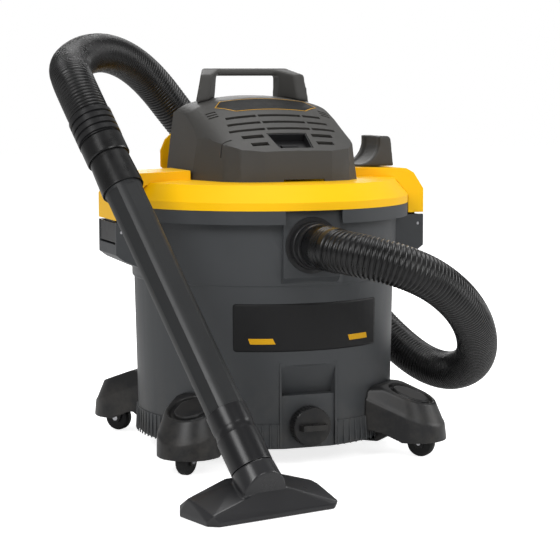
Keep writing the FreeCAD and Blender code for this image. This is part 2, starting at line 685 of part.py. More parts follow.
def makeFootScrews():
    screws = []
    for corner, angle in cornerAngles.items():
        for offset in (-18, 18):
            across = math.radians(angle)
            radial = s.tongueIn + 14
            x = radial * math.cos(across) - offset * math.sin(across)
            y = radial * math.sin(across) + offset * math.cos(across)
            screws.append(primitive("Cylinder", f"screw_head_{corner}", (x, y, s.floorHigh - 9), Radius=5, Height=3))
            screws.append(primitive("Cylinder", f"screw_shank_{corner}", (x, y, s.floorHigh - 6.5),
                                    Radius=2.4, Height=6.5))
    return node(joined("foot_screws", screws))


# ---------------------------------------------------------------- lid

def makeLid():
    lid = Piece("lid")
    inside = s.lidRadius - s.wall
    deckLow = s.deckHigh - s.wall
    skirt = s.mouthRadius - s.wall - s.skirtGap
    low = s.rimHigh + s.seatGap
    lid.turned((s.deckBore, s.deckHigh), (s.deckRadius, s.deckHigh), (s.shoulderRadius, s.shoulderHigh),
               (s.lidRadius, s.lidCrease), (s.lidRadius, low), (inside, low), (inside, s.lidCrease - 1),
               (s.shoulderRadius - 2, s.shoulderHigh - s.wall - 0.5), (s.deckRadius, deckLow),
               (s.deckBore, deckLow))
    # locating skirt with the seal channel beside it
    lid.turned((skirt - s.wall, s.skirtLow), (skirt, s.skirtLow), (skirt, s.rimHigh + 3.6),
               (skirt + 11, s.rimHigh + 3.6), (skirt + 11, low), (skirt + 13, low), (skirt + 13, s.rimHigh + 6),
               (skirt, s.rimHigh + 6), (skirt, s.shoulderHigh - s.wall - 0.3),
               (skirt - s.wall, s.shoulderHigh - s.wall))
    # side plateaus that run out into the lugs
    edge = s.lugReach - 17
    plateau = lid.slab("XZ", [poly((s.plateauIn, s.deckHigh - 2), (s.plateauIn, s.plateauHigh),
                                   (edge - 13, s.plateauHigh - 3), (edge, s.plateauHigh - 10),
                                   (s.lugReach, s.lidCrease + 6), (s.lugReach, s.rimLow),
                                   (s.lidRadius, s.rimLow), (s.lidRadius, s.lidCrease - 4),
                                   (s.shoulderRadius, s.shoulderHigh - 4))], -s.lugHalf, s.lugHalf)
    hollow = lid.slab("XZ", [poly((s.lidRadius - 2, s.rimLow - 1), (s.lugReach - s.wall, s.rimLow - 1),
                                  (s.lugReach - s.wall, s.lidCrease + 5), (edge - 1, s.plateauHigh - 14),
                                  (edge - 4, s.plateauHigh - 13), (edge - 4, s.lidCrease),
                                  (s.lidRadius + 2.5, s.lidCrease), (s.lidRadius + 2.5, s.rimHigh),
                                  (s.lidRadius + s.seatGap, s.rimHigh))],
                      s.wall - s.lugHalf, s.lugHalf - s.wall, cut=True)
    under = lid.slab("XZ", [poly((s.plateauIn + 6, deckLow - 4), (s.plateauIn + 6, s.plateauHigh - s.wall),
                                 (edge - 22, s.plateauHigh - 5.5), (s.shoulderRadius - 4, deckLow - 4))],
                     s.wall - s.lugHalf, s.lugHalf - s.wall, cut=True)
    # catch inside the lug for the latch nose
    catch = lid.slab("XZ", [rect(s.lugReach - s.wall - 1.7, s.rimHigh - 7, s.lugReach - s.wall + 1, s.rimHigh - 3)],
                     -27, 27)
    lid.mirror([plateau, hollow, under, catch], "YZ")
    lid.slab("XY", [ring(x, y, 2.6) for x, y in screwPlaces()], deckLow - 1, s.deckHigh + 1, cut=True)
    return node(lid)


def makeLidSeal():
    seal = Piece("lid_seal")
    inner = s.mouthRadius - s.wall - s.skirtGap + s.seatGap
    seal.turned((inner, s.rimHigh + s.seatGap), (inner + 10, s.rimHigh + s.seatGap),
                (inner + 10, s.rimHigh + 3.4), (inner, s.rimHigh + 3.4))
    return node(seal)


# ---------------------------------------------------------------- motor cover

def coverPlan(label, height, points, inset):
    # a closed plan of the cover from its right half, front to back, moved in by the inset
    drawing = doc.addObject("Sketcher::SketchObject", label)
    place(drawing, (0, 0, size(height)))
    half = [(size(x) - inset, size(y) + (inset if float(size(y)) < 0 else -inset)) for x, y in points]
    drawPoly(drawing, half + [(-x, y) for x, y in reversed(half)])
    return drawing


def coverRoof(label, inset):
    # crowned roof: upright front, vent slope, top and falling back, with full shoulders
    low = s.deckHigh - 60
    front = -s.coverFront + inset
    back = s.coverBack - inset
    lip = s.ventLow - inset * 1.25
    crest = (s.coverTop - s.ventLow) / tangent(s.ventSlope) - s.coverFront
    sections = []
    for across in (-1.4, -1.28, -1.16, -1.04, -0.9, -0.6, -0.3, 0, 0.3, 0.6, 0.9, 1.04, 1.16, 1.28, 1.4):
        fall = s.coverCrown * (across ** 2 + across ** 12 / 6.4)
        turn = Rotation(Vector(0, 0, 1), -float(s.coverSplay) * across).multiply(Rotation(Vector(1, 1, 1), 120))
        drawing = doc.addObject("Sketcher::SketchObject", f"{label}_side")
        place(drawing, (s.coverHalf * across, 0, 0), turn)
        drawPoly(drawing, [(front, low), (front, lip - fall * 0.2), (crest - 30, s.coverTop - 15 - inset - fall * 0.9),
                           (crest + 2, s.coverTop - 4 - inset - fall), (s.coverBack - 44, s.coverTop - inset - fall),
                           (s.coverBack - 22, s.coverTop - 7 - inset - fall),
                           (back, s.coverTop - 24 - inset - fall), (back, low)])
        sections.append(drawing)
    roof = doc.addObject("Part::Loft", f"{label}_roof")
    roof.Sections = sections
    roof.Solid = True
    roof.Ruled = False
    return roof


def coverForm(label, inset):
    low = s.deckHigh - (1 if float(inset) else 0)
    base = [(53, -s.coverFront), (86, 11 - s.coverFront), (110, -122), (133, -45), (136, 80), (126, s.coverBack)]
    middle = [(53, -s.coverFront), (85, 12 - s.coverFront), (104, -119), (125, -45), (130, 80), (119, s.coverBack)]
    top = [(53, -s.coverFront), (84, 12 - s.coverFront), (98, -116), (112, -45), (118, 80), (107, s.coverBack)]
    loft = doc.addObject("Part::Loft", f"{label}_loft")
    loft.Sections = [coverPlan(f"{label}_base", low, base, inset),
                     coverPlan(f"{label}_middle", s.ventLow + 6, middle, inset),
                     coverPlan(f"{label}_top", s.coverTop + 5, top, inset)]
    loft.Solid = True
    loft.Ruled = False
    return kept(f"{label}_form", loft, coverRoof(label, inset))


def screwPlaces():
    return [(-70, -146), (70, -146), (-127, 78), (127, 78)]


def ventCut(label, x0, x1, along, wide):
    # a slot through the vent face, square to its slope
    tilt = Rotation(Vector(1, 0, 0), float(s.ventSlope))
    return primitive("Box", label, (x0, *ventPoint(along, -30)), tilt, Length=x1 - x0, Width=wide, Height=45)


def recessTool(label, grown, deep):
    # the trapezoid recess of the switch, wider up the slope
    tilt = Rotation(Vector(1, 0, 0), float(s.ventSlope))
    return primitive("Wedge", label, (0, *ventPoint(s.recessAlong, -deep)), tilt,
                     Xmin=-25 - grown, Xmax=25 + grown, X2min=-30 - grown, X2max=30 + grown,
                     Ymin=-grown, Ymax=46 + grown, Zmin=0, Zmax=deep + 12, Z2min=0, Z2max=deep + 12)


def makeMotorCover():
    shell = carved("cover_shell", coverForm("cover_outside", size(0)), coverForm("cover_inside", s.wall))
    cuts = [recessTool("recess_window", size(2.3), 30)]
    # three long rows, each split by two ribs, and short rows at both sides of the recess
    for row, along in enumerate((72, 95, 118)):
        reach = 86 - 4 * row
        for x0, x1 in ((-reach, -29), (-25.5, 44.5), (48, reach)):
            cuts.append(ventCut(f"vent_row_{row}", x0, x1, along, s.ventSlot))
    for side in (-1, 1):
        for along, far in ((21, 66), (47, 73)):
            x0, x1 = sorted((side * 39, side * far))
            cuts.append(ventCut("vent_side", x0, x1, along, 11))
        for along in (133, 141, 149):
            x0, x1 = sorted((side * 85, side * 101))
            cuts.append(ventCut("vent_corner", x0, x1, along, 3.5))
    cuts.append(primitive("Box", "side_slot", (-124, -114, s.ventLow - 11), Length=34, Width=3.5, Height=40))
    cuts.append(primitive("Box", "base_notch", (-24, -s.coverFront - 2, s.deckHigh - 1), Length=66, Width=8,
                          Height=4.5))
    cuts.append(primitive("Cylinder", "rear_port_hole", (s.portAside, s.coverBack - 6, s.portHigh), backwards,
                          Radius=s.portRadius + s.seatGap, Height=12))
    cuts.append(primitive("Cylinder", "rear_gland_hole", (-72, s.coverBack - 6, s.deckHigh + 24), backwards,
                          Radius=8.3, Height=12))
    for x, y in screwPlaces():
        cuts.append(primitive("Cylinder", "cover_boss_bore", (x, y, s.deckHigh - 1), Radius=2.5, Height=17))
    bosses = [primitive("Cylinder", "cover_boss", (x, y, s.deckHigh), Radius=6, Height=22)
              for x, y in screwPlaces()]
    return node(carved("motor_cover", joined("cover_with_bosses", [shell] + bosses), joined("cover_cuts", cuts)))


def makeCoverScrews():
    screws = []
    for x, y in screwPlaces():
        screws.append(primitive("Cylinder", "cover_screw_head", (x, y, s.deckHigh - s.wall - 3), Radius=5, Height=3))
        screws.append(primitive("Cylinder", "cover_screw_shank", (x, y, s.deckHigh - s.wall - 0.5),
                                Radius=2.4, Height=17))
    return node(joined("cover_screws", screws))


def ventPoint(along, out=0.0):
    # place on the vent face, measured up the slope from the front lip and out from the face
    rise, run = sine(s.ventSlope), cosine(s.ventSlope)
    return run * along - rise * out - s.coverFront, rise * along + run * out + s.ventLow


def makeVentGrille():
    # a louvred baffle under the vent face, hung from the cover by four posts
    tilt = Rotation(Vector(1, 0, 0), float(s.ventSlope))
    grille = Piece("grille_plate", (0, *ventPoint(0, -20)), tilt)
    grille.slab("XY", [poly((-66, 62), (66, 62), (62, 108), (-62, 108))], 0, 2)
    blade = grille.slab("YZ", [poly((67, 1), (69, 1), (74, 6), (72, 6))], -60, 60)
    grille.row([blade], 30, 4)
    for along in (86, 106):
        grille.slab("XY", [ring(-56, along, 2.5), ring(56, along, 2.5)], 1, 30)
    return node(kept("vent_grille", grille.body, coverForm("grille_trim", s.wall)))


def makeSwitch():
    tilt = Rotation(Vector(1, 0, 0), float(s.ventSlope))
    outer = recessTool("recess_outside", size(2), 16)
    inner = recessTool("recess_inside", size(0), 14)
    above = primitive("Box", "recess_trim", (-60, *ventPoint(0, -1.6)), tilt, Length=120, Width=90, Height=40)
    floor = primitive("Box", "rocker_window", (-13.5, *ventPoint(s.recessAlong + 12, -20)), tilt,
                      Length=27, Width=19, Height=10)
    pivot = primitive("Cylinder", "rocker_pivot", (-13.8, *ventPoint(s.recessAlong + 21.5, -18)),
                      Rotation(Vector(0, 1, 0), 90), Radius=1.5, Height=27.6)
    lugs = [primitive("Box", f"rocker_lug_{x}", (x, *ventPoint(s.recessAlong + 17, -22)), tilt,
                      Length=2.5, Width=9, Height=7) for x in (-16, 13.5)]
    tray = carved("switch_tray", outer, joined("recess_hollow", [inner, above, floor]))
    node(joined("switch_bezel", [tray, pivot] + lugs))
    rocker = Piece("power_switch", (0, *ventPoint(s.recessAlong + 21.5, -15)), tilt)
    rocker.slab("YZ", [poly((-8.6, 0), (-7.2, 6), (0, 3.4), (7.8, 3.8), (8.6, 0), (5, -6), (-5, -6))], -12.8, 12.8)
    rocker.slab("YZ", [ring(0, -3, 1.5 + s.runGap)], -14, 14, cut=True)
    return node(rocker)


def handlePlan(height, inset, leg):
    # a U seen from above: the grip behind, the two legs splayed forwards
    drawing = doc.addObject("Sketcher::SketchObject", "handle_plan")
    place(drawing, (0, 0, height))
    front, back = s.handleFront + inset * 0.4, s.handleBack - inset * 0.4
    wide = s.handleWide - inset
    half = [(wide - leg - 22, back - s.gripDeep), (wide - leg, front), (wide, front), (wide - 16, back - 7),
            (wide - 24, back)]
    drawPoly(drawing, half + [(-x, y) for x, y in reversed(half)])
    return drawing


def makeHandle():
    base = s.coverTop - s.coverCrown - 14
    high = s.handleHigh
    loft = doc.addObject("Part::Loft", "handle_loft")
    loft.Sections = [handlePlan(base, size(0), 21), handlePlan(high, size(13), 18)]
    loft.Solid = True
    loft.Ruled = True
    low = high - s.gripThick
    window = primitive("Box", "handle_window", (-54, s.handleFront - 5, base - 1), Length=108,
                       Width=s.handleBack - s.handleFront + 10, Height=low - base + 1)
    # the legs' tops fall away to the front, and the grip's top is rounded back to front
    front = primitive("Wedge", "handle_front_fall", (-s.handleWide, s.handleFront - 1, high - 12),
                      Rotation(), Xmin=0, Xmax=s.handleWide * 2, Ymin=0, Ymax=42, Zmin=0, Zmax=13,
                      X2min=0, X2max=s.handleWide * 2, Z2min=11, Z2max=13)
    grip = carved("handle_grip", loft, joined("handle_cuts", [window, front]))
    return node(carved("handle", grip, coverRoof("handle_seat", size(0))))


# ---------------------------------------------------------------- rear of the head and cradle

def makeRear():
    flange = Piece("rear_flange")
    face = s.coverBack
    back = face + s.flangeThick
    flange.slab("XZ", [poly((-118, s.deckHigh), (118, s.deckHigh), (136, s.deckHigh + 14), (136, s.deckHigh + 40),
                            (128, s.deckHigh + 58), (110, s.deckHigh + 74), (-110, s.deckHigh + 74),
                            (-128, s.deckHigh + 58), (-136, s.deckHigh + 40), (-136, s.deckHigh + 14)),
                       ring(s.portAside, s.portHigh, s.portRadius + s.seatGap), ring(-72, s.deckHigh + 24, 8.3)],
                face, back)
    node(flange)
    port = Piece("blower_port", (s.portAside, back, s.portHigh), backwards)
    port.turned((s.portBore, -22), (s.portRadius, -22), (s.portRadius, 0), (s.portRadius + 4, 0),
                (s.portRadius + 4, 2.5), (s.portRadius, 2.5), (s.portRadius, s.portReach), (s.portBore, s.portReach))
    node(port)
    gland = Piece("cord_gland", (-72, back, s.deckHigh + 24), backwards)
    gland.turned((3.8, -14), (8, -14), (8, 0), (12, 0), (12, 3), (8, 4), (6.4, 22), (3.8, 22))
    node(gland)


def makeCradle():
    cradle = Piece("accessory_cradle")
    low = s.plateauHigh
    centre = s.plateauHigh + 3.5 + s.cradleRadius
    left = s.cradleCentre - 12
    cradle.slab("XZ", [poly((left, low), (s.cradleOut, low), (s.cradleOut - 5, s.cradleTop - 4),
                            (s.cradleOut - 9, s.cradleTop), (left, s.cradleTop))], s.cradleFront, s.cradleBack)
    cradle.slab("XZ", [ring(s.cradleCentre, centre, s.cradleRadius)], s.cradleFront - 1, s.cradleBack + 1, cut=True)
    # a wider groove between the two lips of the channel, and a slot in the post's top
    cradle.slab("XZ", [ring(s.cradleCentre, centre, s.cradleRadius + 2.5)], s.cradleFront + 14, s.cradleBack - 14,
                cut=True)
    cradle.slab("XY", [rect(s.cradleOut - 18, s.cradleFront + 18, s.cradleOut - 12, s.cradleBack - 18)],
                s.cradleTop - 20, s.cradleTop + 1, cut=True)
    return node(cradle)


# ---------------------------------------------------------------- motor and fan

def makeMotor():
    case = Piece("fan_housing")
    wall = s.fanCase + s.wall
    case.turned((32, s.deckHigh), (92, s.deckHigh), (92, s.deckHigh + 3), (wall, s.deckHigh + 3),
                (wall, s.fanCaseTop), (s.bearingRadius + 3, s.fanCaseTop), (s.bearingRadius + 3, s.fanCaseTop + 4),
                (s.bearingRadius + s.seatGap, s.fanCaseTop + 4), (s.bearingRadius + s.seatGap, s.fanCaseTop - 3),
                (s.fanCase, s.fanCaseTop - 3), (s.fanCase, s.deckHigh + 3), (32, s.deckHigh + 3))
    case.slab("XY", [rect(-24, s.fanCase - 20, 24, wall + 4)], s.fanLow - 2, s.fanHigh, cut=True)
    node(case)
    frame = Piece("motor_frame")
    inner = s.statorRadius + s.seatGap
    frame.turned((inner, s.fanCaseTop), (inner + 10, s.fanCaseTop), (inner + 10, s.fanCaseTop + 3),
                 (inner + 3, s.fanCaseTop + 3), (inner + 3, s.frameTop - 10), (inner - 9, s.frameTop),
                 (s.bearingRadius + s.seatGap, s.frameTop), (s.bearingRadius + s.seatGap, s.frameTop - s.bearingHigh),
                 (inner - 6, s.frameTop - s.bearingHigh), (inner, s.frameTop - s.bearingHigh - 6))
    window = frame.slab("XZ", [rect(-14, s.statorHigh + 2, 14, s.frameTop - 8)], -inner - 12, 0, cut=True)
    lower = frame.slab("XZ", [rect(-14, s.fanCaseTop + 4, 14, s.statorLow - 1)], -inner - 12, 0, cut=True)
    frame.polar([window, lower], 4)
    node(frame)
    stator = Piece("stator")
    stator.turned((s.statorBore, s.statorLow), (s.statorRadius, s.statorLow), (s.statorRadius, s.statorHigh),
                  (s.statorBore, s.statorHigh))
    coil = stator.slab("XY", [rect(s.statorBore + 3, -15, s.statorRadius - 3, 15)], s.statorLow - 6, s.statorHigh + 6)
    stator.mirror([coil], "YZ")
    node(stator)
    bearings = []
    for name, low in (("lower", s.fanCaseTop - 3), ("upper", s.frameTop - s.bearingHigh)):
        outside = primitive("Cylinder", f"bearing_{name}", (0, 0, low), Radius=s.bearingRadius, Height=s.bearingHigh)
        bore = primitive("Cylinder", f"bearing_bore_{name}", (0, 0, low - 1), Radius=s.shaftRadius + s.runGap,
                         Height=s.bearingHigh + 2)
        bearings.append(carved(f"bearing_ring_{name}", outside, bore))
    node(joined("motor_bearings", bearings))


def makeRotor():
    shaft = Piece("motor_shaft")
    shaft.turned((0, s.fanLow - 5), (s.shaftRadius, s.fanLow - 5), (s.shaftRadius, s.frameTop + 2),
                 (0, s.frameTop + 2))
    node(shaft)
    hub = s.shaftRadius + 0.02
    armature = Piece("armature")
    armature.turned((hub, s.statorLow - 3), (s.statorBore - 9, s.statorLow - 3), (s.statorBore - 9, s.statorLow),
                    (s.statorBore - 1, s.statorLow), (s.statorBore - 1, s.statorHigh),
                    (s.statorBore - 9, s.statorHigh), (s.statorBore - 9, s.statorHigh + 3),
                    (12, s.statorHigh + 3), (12, s.statorHigh + 8), (hub, s.statorHigh + 8))
    node(armature)
    fan = Piece("impeller")
    fan.turned((hub, s.fanLow), (s.fanRadius * 0.5, s.fanLow), (s.fanRadius * 0.5, s.fanLow + 2), (12, s.fanLow + 2),
               (12, s.fanHigh - 2), (s.fanRadius, s.fanHigh - 2), (s.fanRadius, s.fanHigh), (hub, s.fanHigh))
    blade = fan.slab("XY", [poly((11, -1), (40, 8), (s.fanRadius - 1, 20), (s.fanRadius - 2, 22), (39, 10), (11, 1))],
                     s.fanLow + 1, s.fanHigh - 1)
    fan.polar([blade], 9)
    node(fan)


# ---------------------------------------------------------------- filter

def makeFilter():
    cage = Piece("filter_cage")
    inner = s.cageRadius - s.wall
    top = s.deckHigh - s.wall
    cage.turned((inner, top), (92, top), (92, top - 3), (s.cageRadius, top - 3), (s.cageRadius, s.filterHigh + 3.5),
                (s.filterRadius, s.filterHigh + 3.5), (s.filterRadius, s.filterHigh + 0.5),
                (s.cageRadius, s.filterHigh + 0.5), (s.cageRadius, s.cageLow), (0, s.cageLow), (0, s.cageLow + 3),
                (inner, s.cageLow + 3))
    slots = [cage.slab("XZ", [rect(-9, low, 9, high)], -s.cageRadius - 2, -inner + 12, cut=True)
             for low, high in ((s.cageLow + 12, s.cageLow + 66), (s.cageLow + 76, s.filterHigh - 8))]
    cage.polar(slots, 8)
    node(cage)
    ball = Piece("float_cup")
    base = s.cageLow + s.wall
    ball.turned((0, base), (s.floatRadius - 6, base), (s.floatRadius, base + 6), (s.floatRadius, base + s.floatHigh),
                (s.floatRadius - 2, base + s.floatHigh), (s.floatRadius - 2, base + 8), (s.floatRadius - 7, base + 2),
                (0, base + 2))
    node(ball)
    cartridge = Piece("filter_cartridge")
    bore = s.cageRadius + s.filterGap
    cartridge.turned((bore, s.filterLow), (s.filterRadius, s.filterLow), (s.filterRadius, s.filterLow + 7),
                     (s.filterRadius - 4, s.filterLow + 7), (s.filterRadius - 4, s.filterHigh - 7),
                     (s.filterRadius, s.filterHigh - 7), (s.filterRadius, s.filterHigh), (bore, s.filterHigh))
    node(cartridge)
    plate = Piece("filter_retainer")
    under = s.filterLow - s.seatGap
    plate.turned((0, under - 17), (14, under - 17), (16, under - 4), (82, under - 4), (82, under), (18, under),
                 (14, s.cageLow - s.seatGap), (0, s.cageLow - s.seatGap))
    plate.slab("XZ", [poly((-34, under - 18), (34, under - 18), (30, under - 4), (-30, under - 4))], -2.5, 2.5)
    node(plate)


# ---------------------------------------------------------------- hose

hoseRoute = [(3, -246, 336), (3, -296, 335), (28, -338, 330), (74, -361, 318), (128, -356, 296), (180, -328, 264),
             (226, -284, 228), (266, -228, 190), (298, -164, 150), (314, -96, 118), (310, -30, 101),
             (292, 30, 108), (268, 88, 138), (238, 144, 186), (198, 196, 234), (148, 236, 288), (96, 260, 342),
             (42, 272, 402), (-12, 273, 466), (-62, 265, 524), (-108, 246, 576), (-156, 214, 610),
             (-208, 170, 626), (-256, 116, 622), (-291, 62, 608), (-311, 4, 596), (-318, -44, 582)]
wandTop = Vector(-307.8, -108.6, 524.4)
wandWay = Vector(0.2140, -0.5908, -0.7779)
wandWay.normalize()


def tubeAlong(points, radius):
    # straight runs joined by tangent arcs, each as large as its two runs allow
    edges = []
    start = points[0]
    for before, corner, after in zip(points, points[1:], points[2:]):
        back, ahead = before - corner, after - corner
        turn = math.pi - back.getAngle(ahead)
        reach = 0.45 * min(back.Length, ahead.Length)
        print(f"hose arc radius {reach / math.tan(turn / 2):.0f}")
        first = corner + Vector(back).normalize() * reach
        last = corner + Vector(ahead).normalize() * reach
        middle = (Vector(back).normalize() + Vector(ahead).normalize()).normalize()
        bend = reach / math.tan(turn / 2)
        inner = corner + middle * (math.sqrt(reach ** 2 + bend ** 2) - bend)
        edges.append(Part.LineSegment(start, first).toShape())
        edges.append(Part.Arc(first, inner, last).toShape())
        start = last
    edges.append(Part.LineSegment(start, points[-1]).toShape())
    path = Part.Wire(edges)
    way = points[1] - points[0]
    section = Part.Wire(Part.Circle(points[0], way, radius).toShape())
    tube = path.makePipeShell([section], True, False)
    expected = math.pi * radius ** 2 * path.Length
    print(f"hose length {path.Length:.0f}, volume off by {abs(tube.Volume / expected - 1):.5f}")
    return tube


def makeHose():
    points = [Vector(*point) for point in hoseRoute]
    points.append(wandTop - wandWay * 50)
    points.append(wandTop)
    hose = doc.addObject("Part::Feature", "hose")
    hose.Shape = tubeAlong(points, float(s.hoseRadius))
    node(hose)
    start = -246 + s.bossFace
    cuff = Piece("hose_inlet_cuff", (0, -s.bossFace, s.inletHigh), sideways)
    out = -start - 0.6
    cuff.turned((s.inletBore - s.cuffWall - 1, -12), (s.inletBore - s.seatGap, -12),
                (s.inletBore - s.seatGap, s.inletReach + 0.5), (s.hoseRadius + 2, s.inletReach + 0.5),
                (s.hoseRadius + 2, out - 2), (s.hoseRadius + 1, out), (s.inletBore - s.cuffWall - 1, out))
    node(cuff)


def alongWand(label, *profile):
    turn = Rotation(Vector(0, 0, 1), wandWay)
    piece = Piece(label, tuple(wandTop), turn)
    piece.turned(*profile)
    return piece


def makeWand():
    bore = s.hoseRadius - 6
    boot = s.hoseRadius + 1.5
    ribs = [(bore, 0), (boot, 0)]
    for start in (0, 11, 22, 33):
        ribs += [(boot, start + 7), (boot - 2.5, start + 8), (boot - 2.5, start + 10), (boot, start + 11)]
    node(alongWand("hose_boot", *ribs, (bore, 44)))
    node(alongWand("hose_collar", (bore, 44), (s.hoseRadius, 44), (s.hoseRadius + 1, 46), (s.hoseRadius + 1, 74),
                   (s.hoseRadius, 76), (bore, 76)))
    socket = s.wandRadius + 0.3
    node(alongWand("wand_cuff", (bore, 76), (s.hoseRadius - 2, 76), (s.hoseRadius, 128), (s.hoseRadius, 131),
                   (socket, 131), (socket, 108), (bore, 108)))
    top = 108.5
    end = s.wandLength + top
    wand = alongWand("wand", (s.wandRadius - s.wandWall, top), (s.wandRadius, top), (s.wandRadius, end),
                     (s.wandRadius - s.wandWall, end))
    # long flats let into the tube between its two ends
    flat = wand.slab("XY", [rect(s.wandRadius - s.wandFlat, -12, s.wandRadius + 2, 12)], 136, end, cut=True)
    wand.polar([flat], 6)
    node(wand)
    lip = s.wandRadius + 1.5
    node(alongWand("wand_coupler", (s.wandRadius - s.wandWall, end), (s.wandRadius + 0.6, end),
                   (s.wandRadius + 0.6, end + 26), (s.wandRadius - 0.4, end + 28), (s.wandRadius - 0.4, end + 33),
                   (s.wandRadius + 0.4, end + 35), (s.wandRadius + 0.4, end + 38), (lip, end + 40),
                   (lip, end + s.couplerLong), (s.wandRadius - s.wandWall, end + s.couplerLong)))


def makeNozzle():
    floor = Rotation(Vector(0, 0, 1), s.nozzleTurn.value)
    upright = floor.multiply(Rotation(Vector(1, 0, 0), 90))
    middle = (-168, -449)
    long, deep, cut = s.nozzleLong, s.nozzleDeep, s.nozzleCorner

    def rounded(grown):
        return poly((cut - long - grown, -deep - grown), (long - cut + grown, -deep - grown),
                    (long + grown, cut - deep - grown), (long + grown, deep - cut + grown),
                    (long - cut + grown, deep + grown), (cut - long - grown, deep + grown),
                    (-long - grown, deep - cut + grown), (-long - grown, cut - deep - grown))

    # thin lip along the floor, low upright wall and a hood rising to the neck
    skirt = Piece("nozzle_skirt", (*middle, 0), floor)
    skirt.slab("XY", [rounded(size(0))], 0.5, s.nozzleSkirt)
    skirt.slab("XY", [rounded(size(2))], 0.5, 4)
    hood = primitive("Wedge", "nozzle_hood", (*middle, 0), upright, Xmin=5 - long, Xmax=long - 5,
                     Zmin=4 - deep, Zmax=deep - 3, X2min=-6, X2max=16, Z2min=6 - deep, Z2max=36,
                     Ymin=s.nozzleSkirt - 0.5, Ymax=s.nozzleHigh)
    slope = primitive("Wedge", "nozzle_shoulder", (*middle, 0), upright, Xmin=-long, Xmax=long,
                      Zmin=cut * 0.4 - deep, Zmax=deep - cut * 0.4, X2min=7 - long, X2max=long - 7,
                      Z2min=7 - deep, Z2max=deep - 5, Ymin=s.nozzleSkirt - 4, Ymax=s.nozzleSkirt + 3)
    hollow = primitive("Wedge", "nozzle_inside", (*middle, 0), upright, Xmin=s.wall - long, Xmax=long - s.wall,
                       Zmin=s.wall - deep, Zmax=deep - s.wall, X2min=4 - s.wall, X2max=20, Z2min=s.wall - 30,
                       Z2max=32, Ymin=s.nozzleSkirt - 2, Ymax=s.nozzleHigh - 5)
    mouth = Piece("nozzle_mouth", (*middle, 0), floor)
    mouth.slab("XY", [rounded(-s.wall)], -1, s.nozzleSkirt - 1.5)
    turn = Rotation(Vector(0, 0, 1), wandWay)
    begin = wandTop + wandWay * (float(s.wandLength) + 108.5 + float(s.couplerLong))
    neck = primitive("Cone", "neck_outside", tuple(begin), turn, Radius1=s.neckRadius, Radius2=s.neckRadius + 4,
                     Height=40)
    bore = primitive("Cylinder", "neck_bore", tuple(begin - wandWay), turn,
                     Radius=s.wandRadius - s.wandWall, Height=34)
    # the neck ends inside the hood's front and above the floor, and its bore keeps a wall there
    forms = []
    for label, tool, inset in (("nozzle_neck", neck, 4), ("neck_hollow", bore, 5 + s.wall)):
        front = primitive("Box", f"{label}_trim", Length=150, Width=deep * 2, Height=120)
        front.Placement = Placement(Vector(*middle, 0) + floor.multVec(Vector(-60, float(inset - deep), 0)),
                                    floor.multiply(Rotation(Vector(1, 0, 0), -3)))
        forms.append(kept(label, tool, front))
    neckForm, bore = forms
    outside = joined("nozzle_outside", [skirt.body, hood, slope, neckForm])
    hollows = joined("nozzle_hollow", [mouth.body, hollow, bore])
    return node(carved("floor_nozzle", outside, hollows))


# ---------------------------------------------------------------- build, check and write

makeDrum()
makeLatchPins()
makeLatch("latch_right", 1)
makeLatch("latch_left", -1)
makeInlet()
makeDrain()
for corner, angle in cornerAngles.items():
    makeFoot(corner, angle)
    makeCastor(corner, angle)
makeFootScrews()
makeLid()
makeLidSeal()
makeMotorCover()
makeCoverScrews()
makeVentGrille()
makeSwitch()
makeHandle()
makeRear()
makeCradle()
makeMotor()
makeRotor()
makeFilter()
makeHose()
makeWand()
makeNozzle()
doc.recompute()

faults = [item.Label for item in doc.Objects if {"Invalid", "Error"} & set(item.State)]
for item in nodes:
    if item.Shape.isNull() or not item.Shape.isValid() or not item.Shape.Solids:
        faults.append(f"{item.Label} shape")
for body in doc.findObjects("PartDesign::Body"):
    volume = 0.0
    for feature in body.Group:
        if not feature.isDerivedFrom("PartDesign::Feature"):
            continue
        if feature.Shape.isNull():
            faults.append(f"{feature.Name} empty")
            continue
        grown = feature.Shape.Volume - volume
        if feature.isDerivedFrom("PartDesign::Pocket") or feature.isDerivedFrom("PartDesign::Groove"):
            grown = -grown
        if grown <= 0 and not feature.isDerivedFrom("PartDesign::Mirrored") and "pattern" not in feature.Name:
            faults.append(f"{feature.Name} changes nothing")
        volume = feature.Shape.Volume
if faults:
    raise RuntimeError("failed: " + ", ".join(faults))

os.makedirs("parts", exist_ok=True)
for item in nodes:
    item.Shape.exportStep(f"parts/{item.Label}.step")
print(f"{len(nodes)} parts written")
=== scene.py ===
import json
import math

import bmesh
import bpy
from mathutils import Matrix, Vector
from mathutils.bvhtree import BVHTree


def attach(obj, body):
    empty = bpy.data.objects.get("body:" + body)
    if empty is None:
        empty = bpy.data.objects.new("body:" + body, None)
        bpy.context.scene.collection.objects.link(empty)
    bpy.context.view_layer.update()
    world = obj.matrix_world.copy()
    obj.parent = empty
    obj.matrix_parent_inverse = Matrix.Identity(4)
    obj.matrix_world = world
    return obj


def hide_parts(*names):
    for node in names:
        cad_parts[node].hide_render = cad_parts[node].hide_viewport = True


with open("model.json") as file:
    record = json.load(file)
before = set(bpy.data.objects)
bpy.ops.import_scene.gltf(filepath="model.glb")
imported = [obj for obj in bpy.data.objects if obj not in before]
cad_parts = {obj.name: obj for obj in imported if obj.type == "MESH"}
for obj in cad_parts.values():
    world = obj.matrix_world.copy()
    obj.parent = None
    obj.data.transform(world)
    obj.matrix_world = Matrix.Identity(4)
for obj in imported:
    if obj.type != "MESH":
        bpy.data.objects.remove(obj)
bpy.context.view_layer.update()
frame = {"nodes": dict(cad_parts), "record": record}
nodes = frame["nodes"]
corners = ("front_left", "front_right", "rear_right", "rear_left")
print("frame loaded:", len(nodes), "parts")


# camera and light

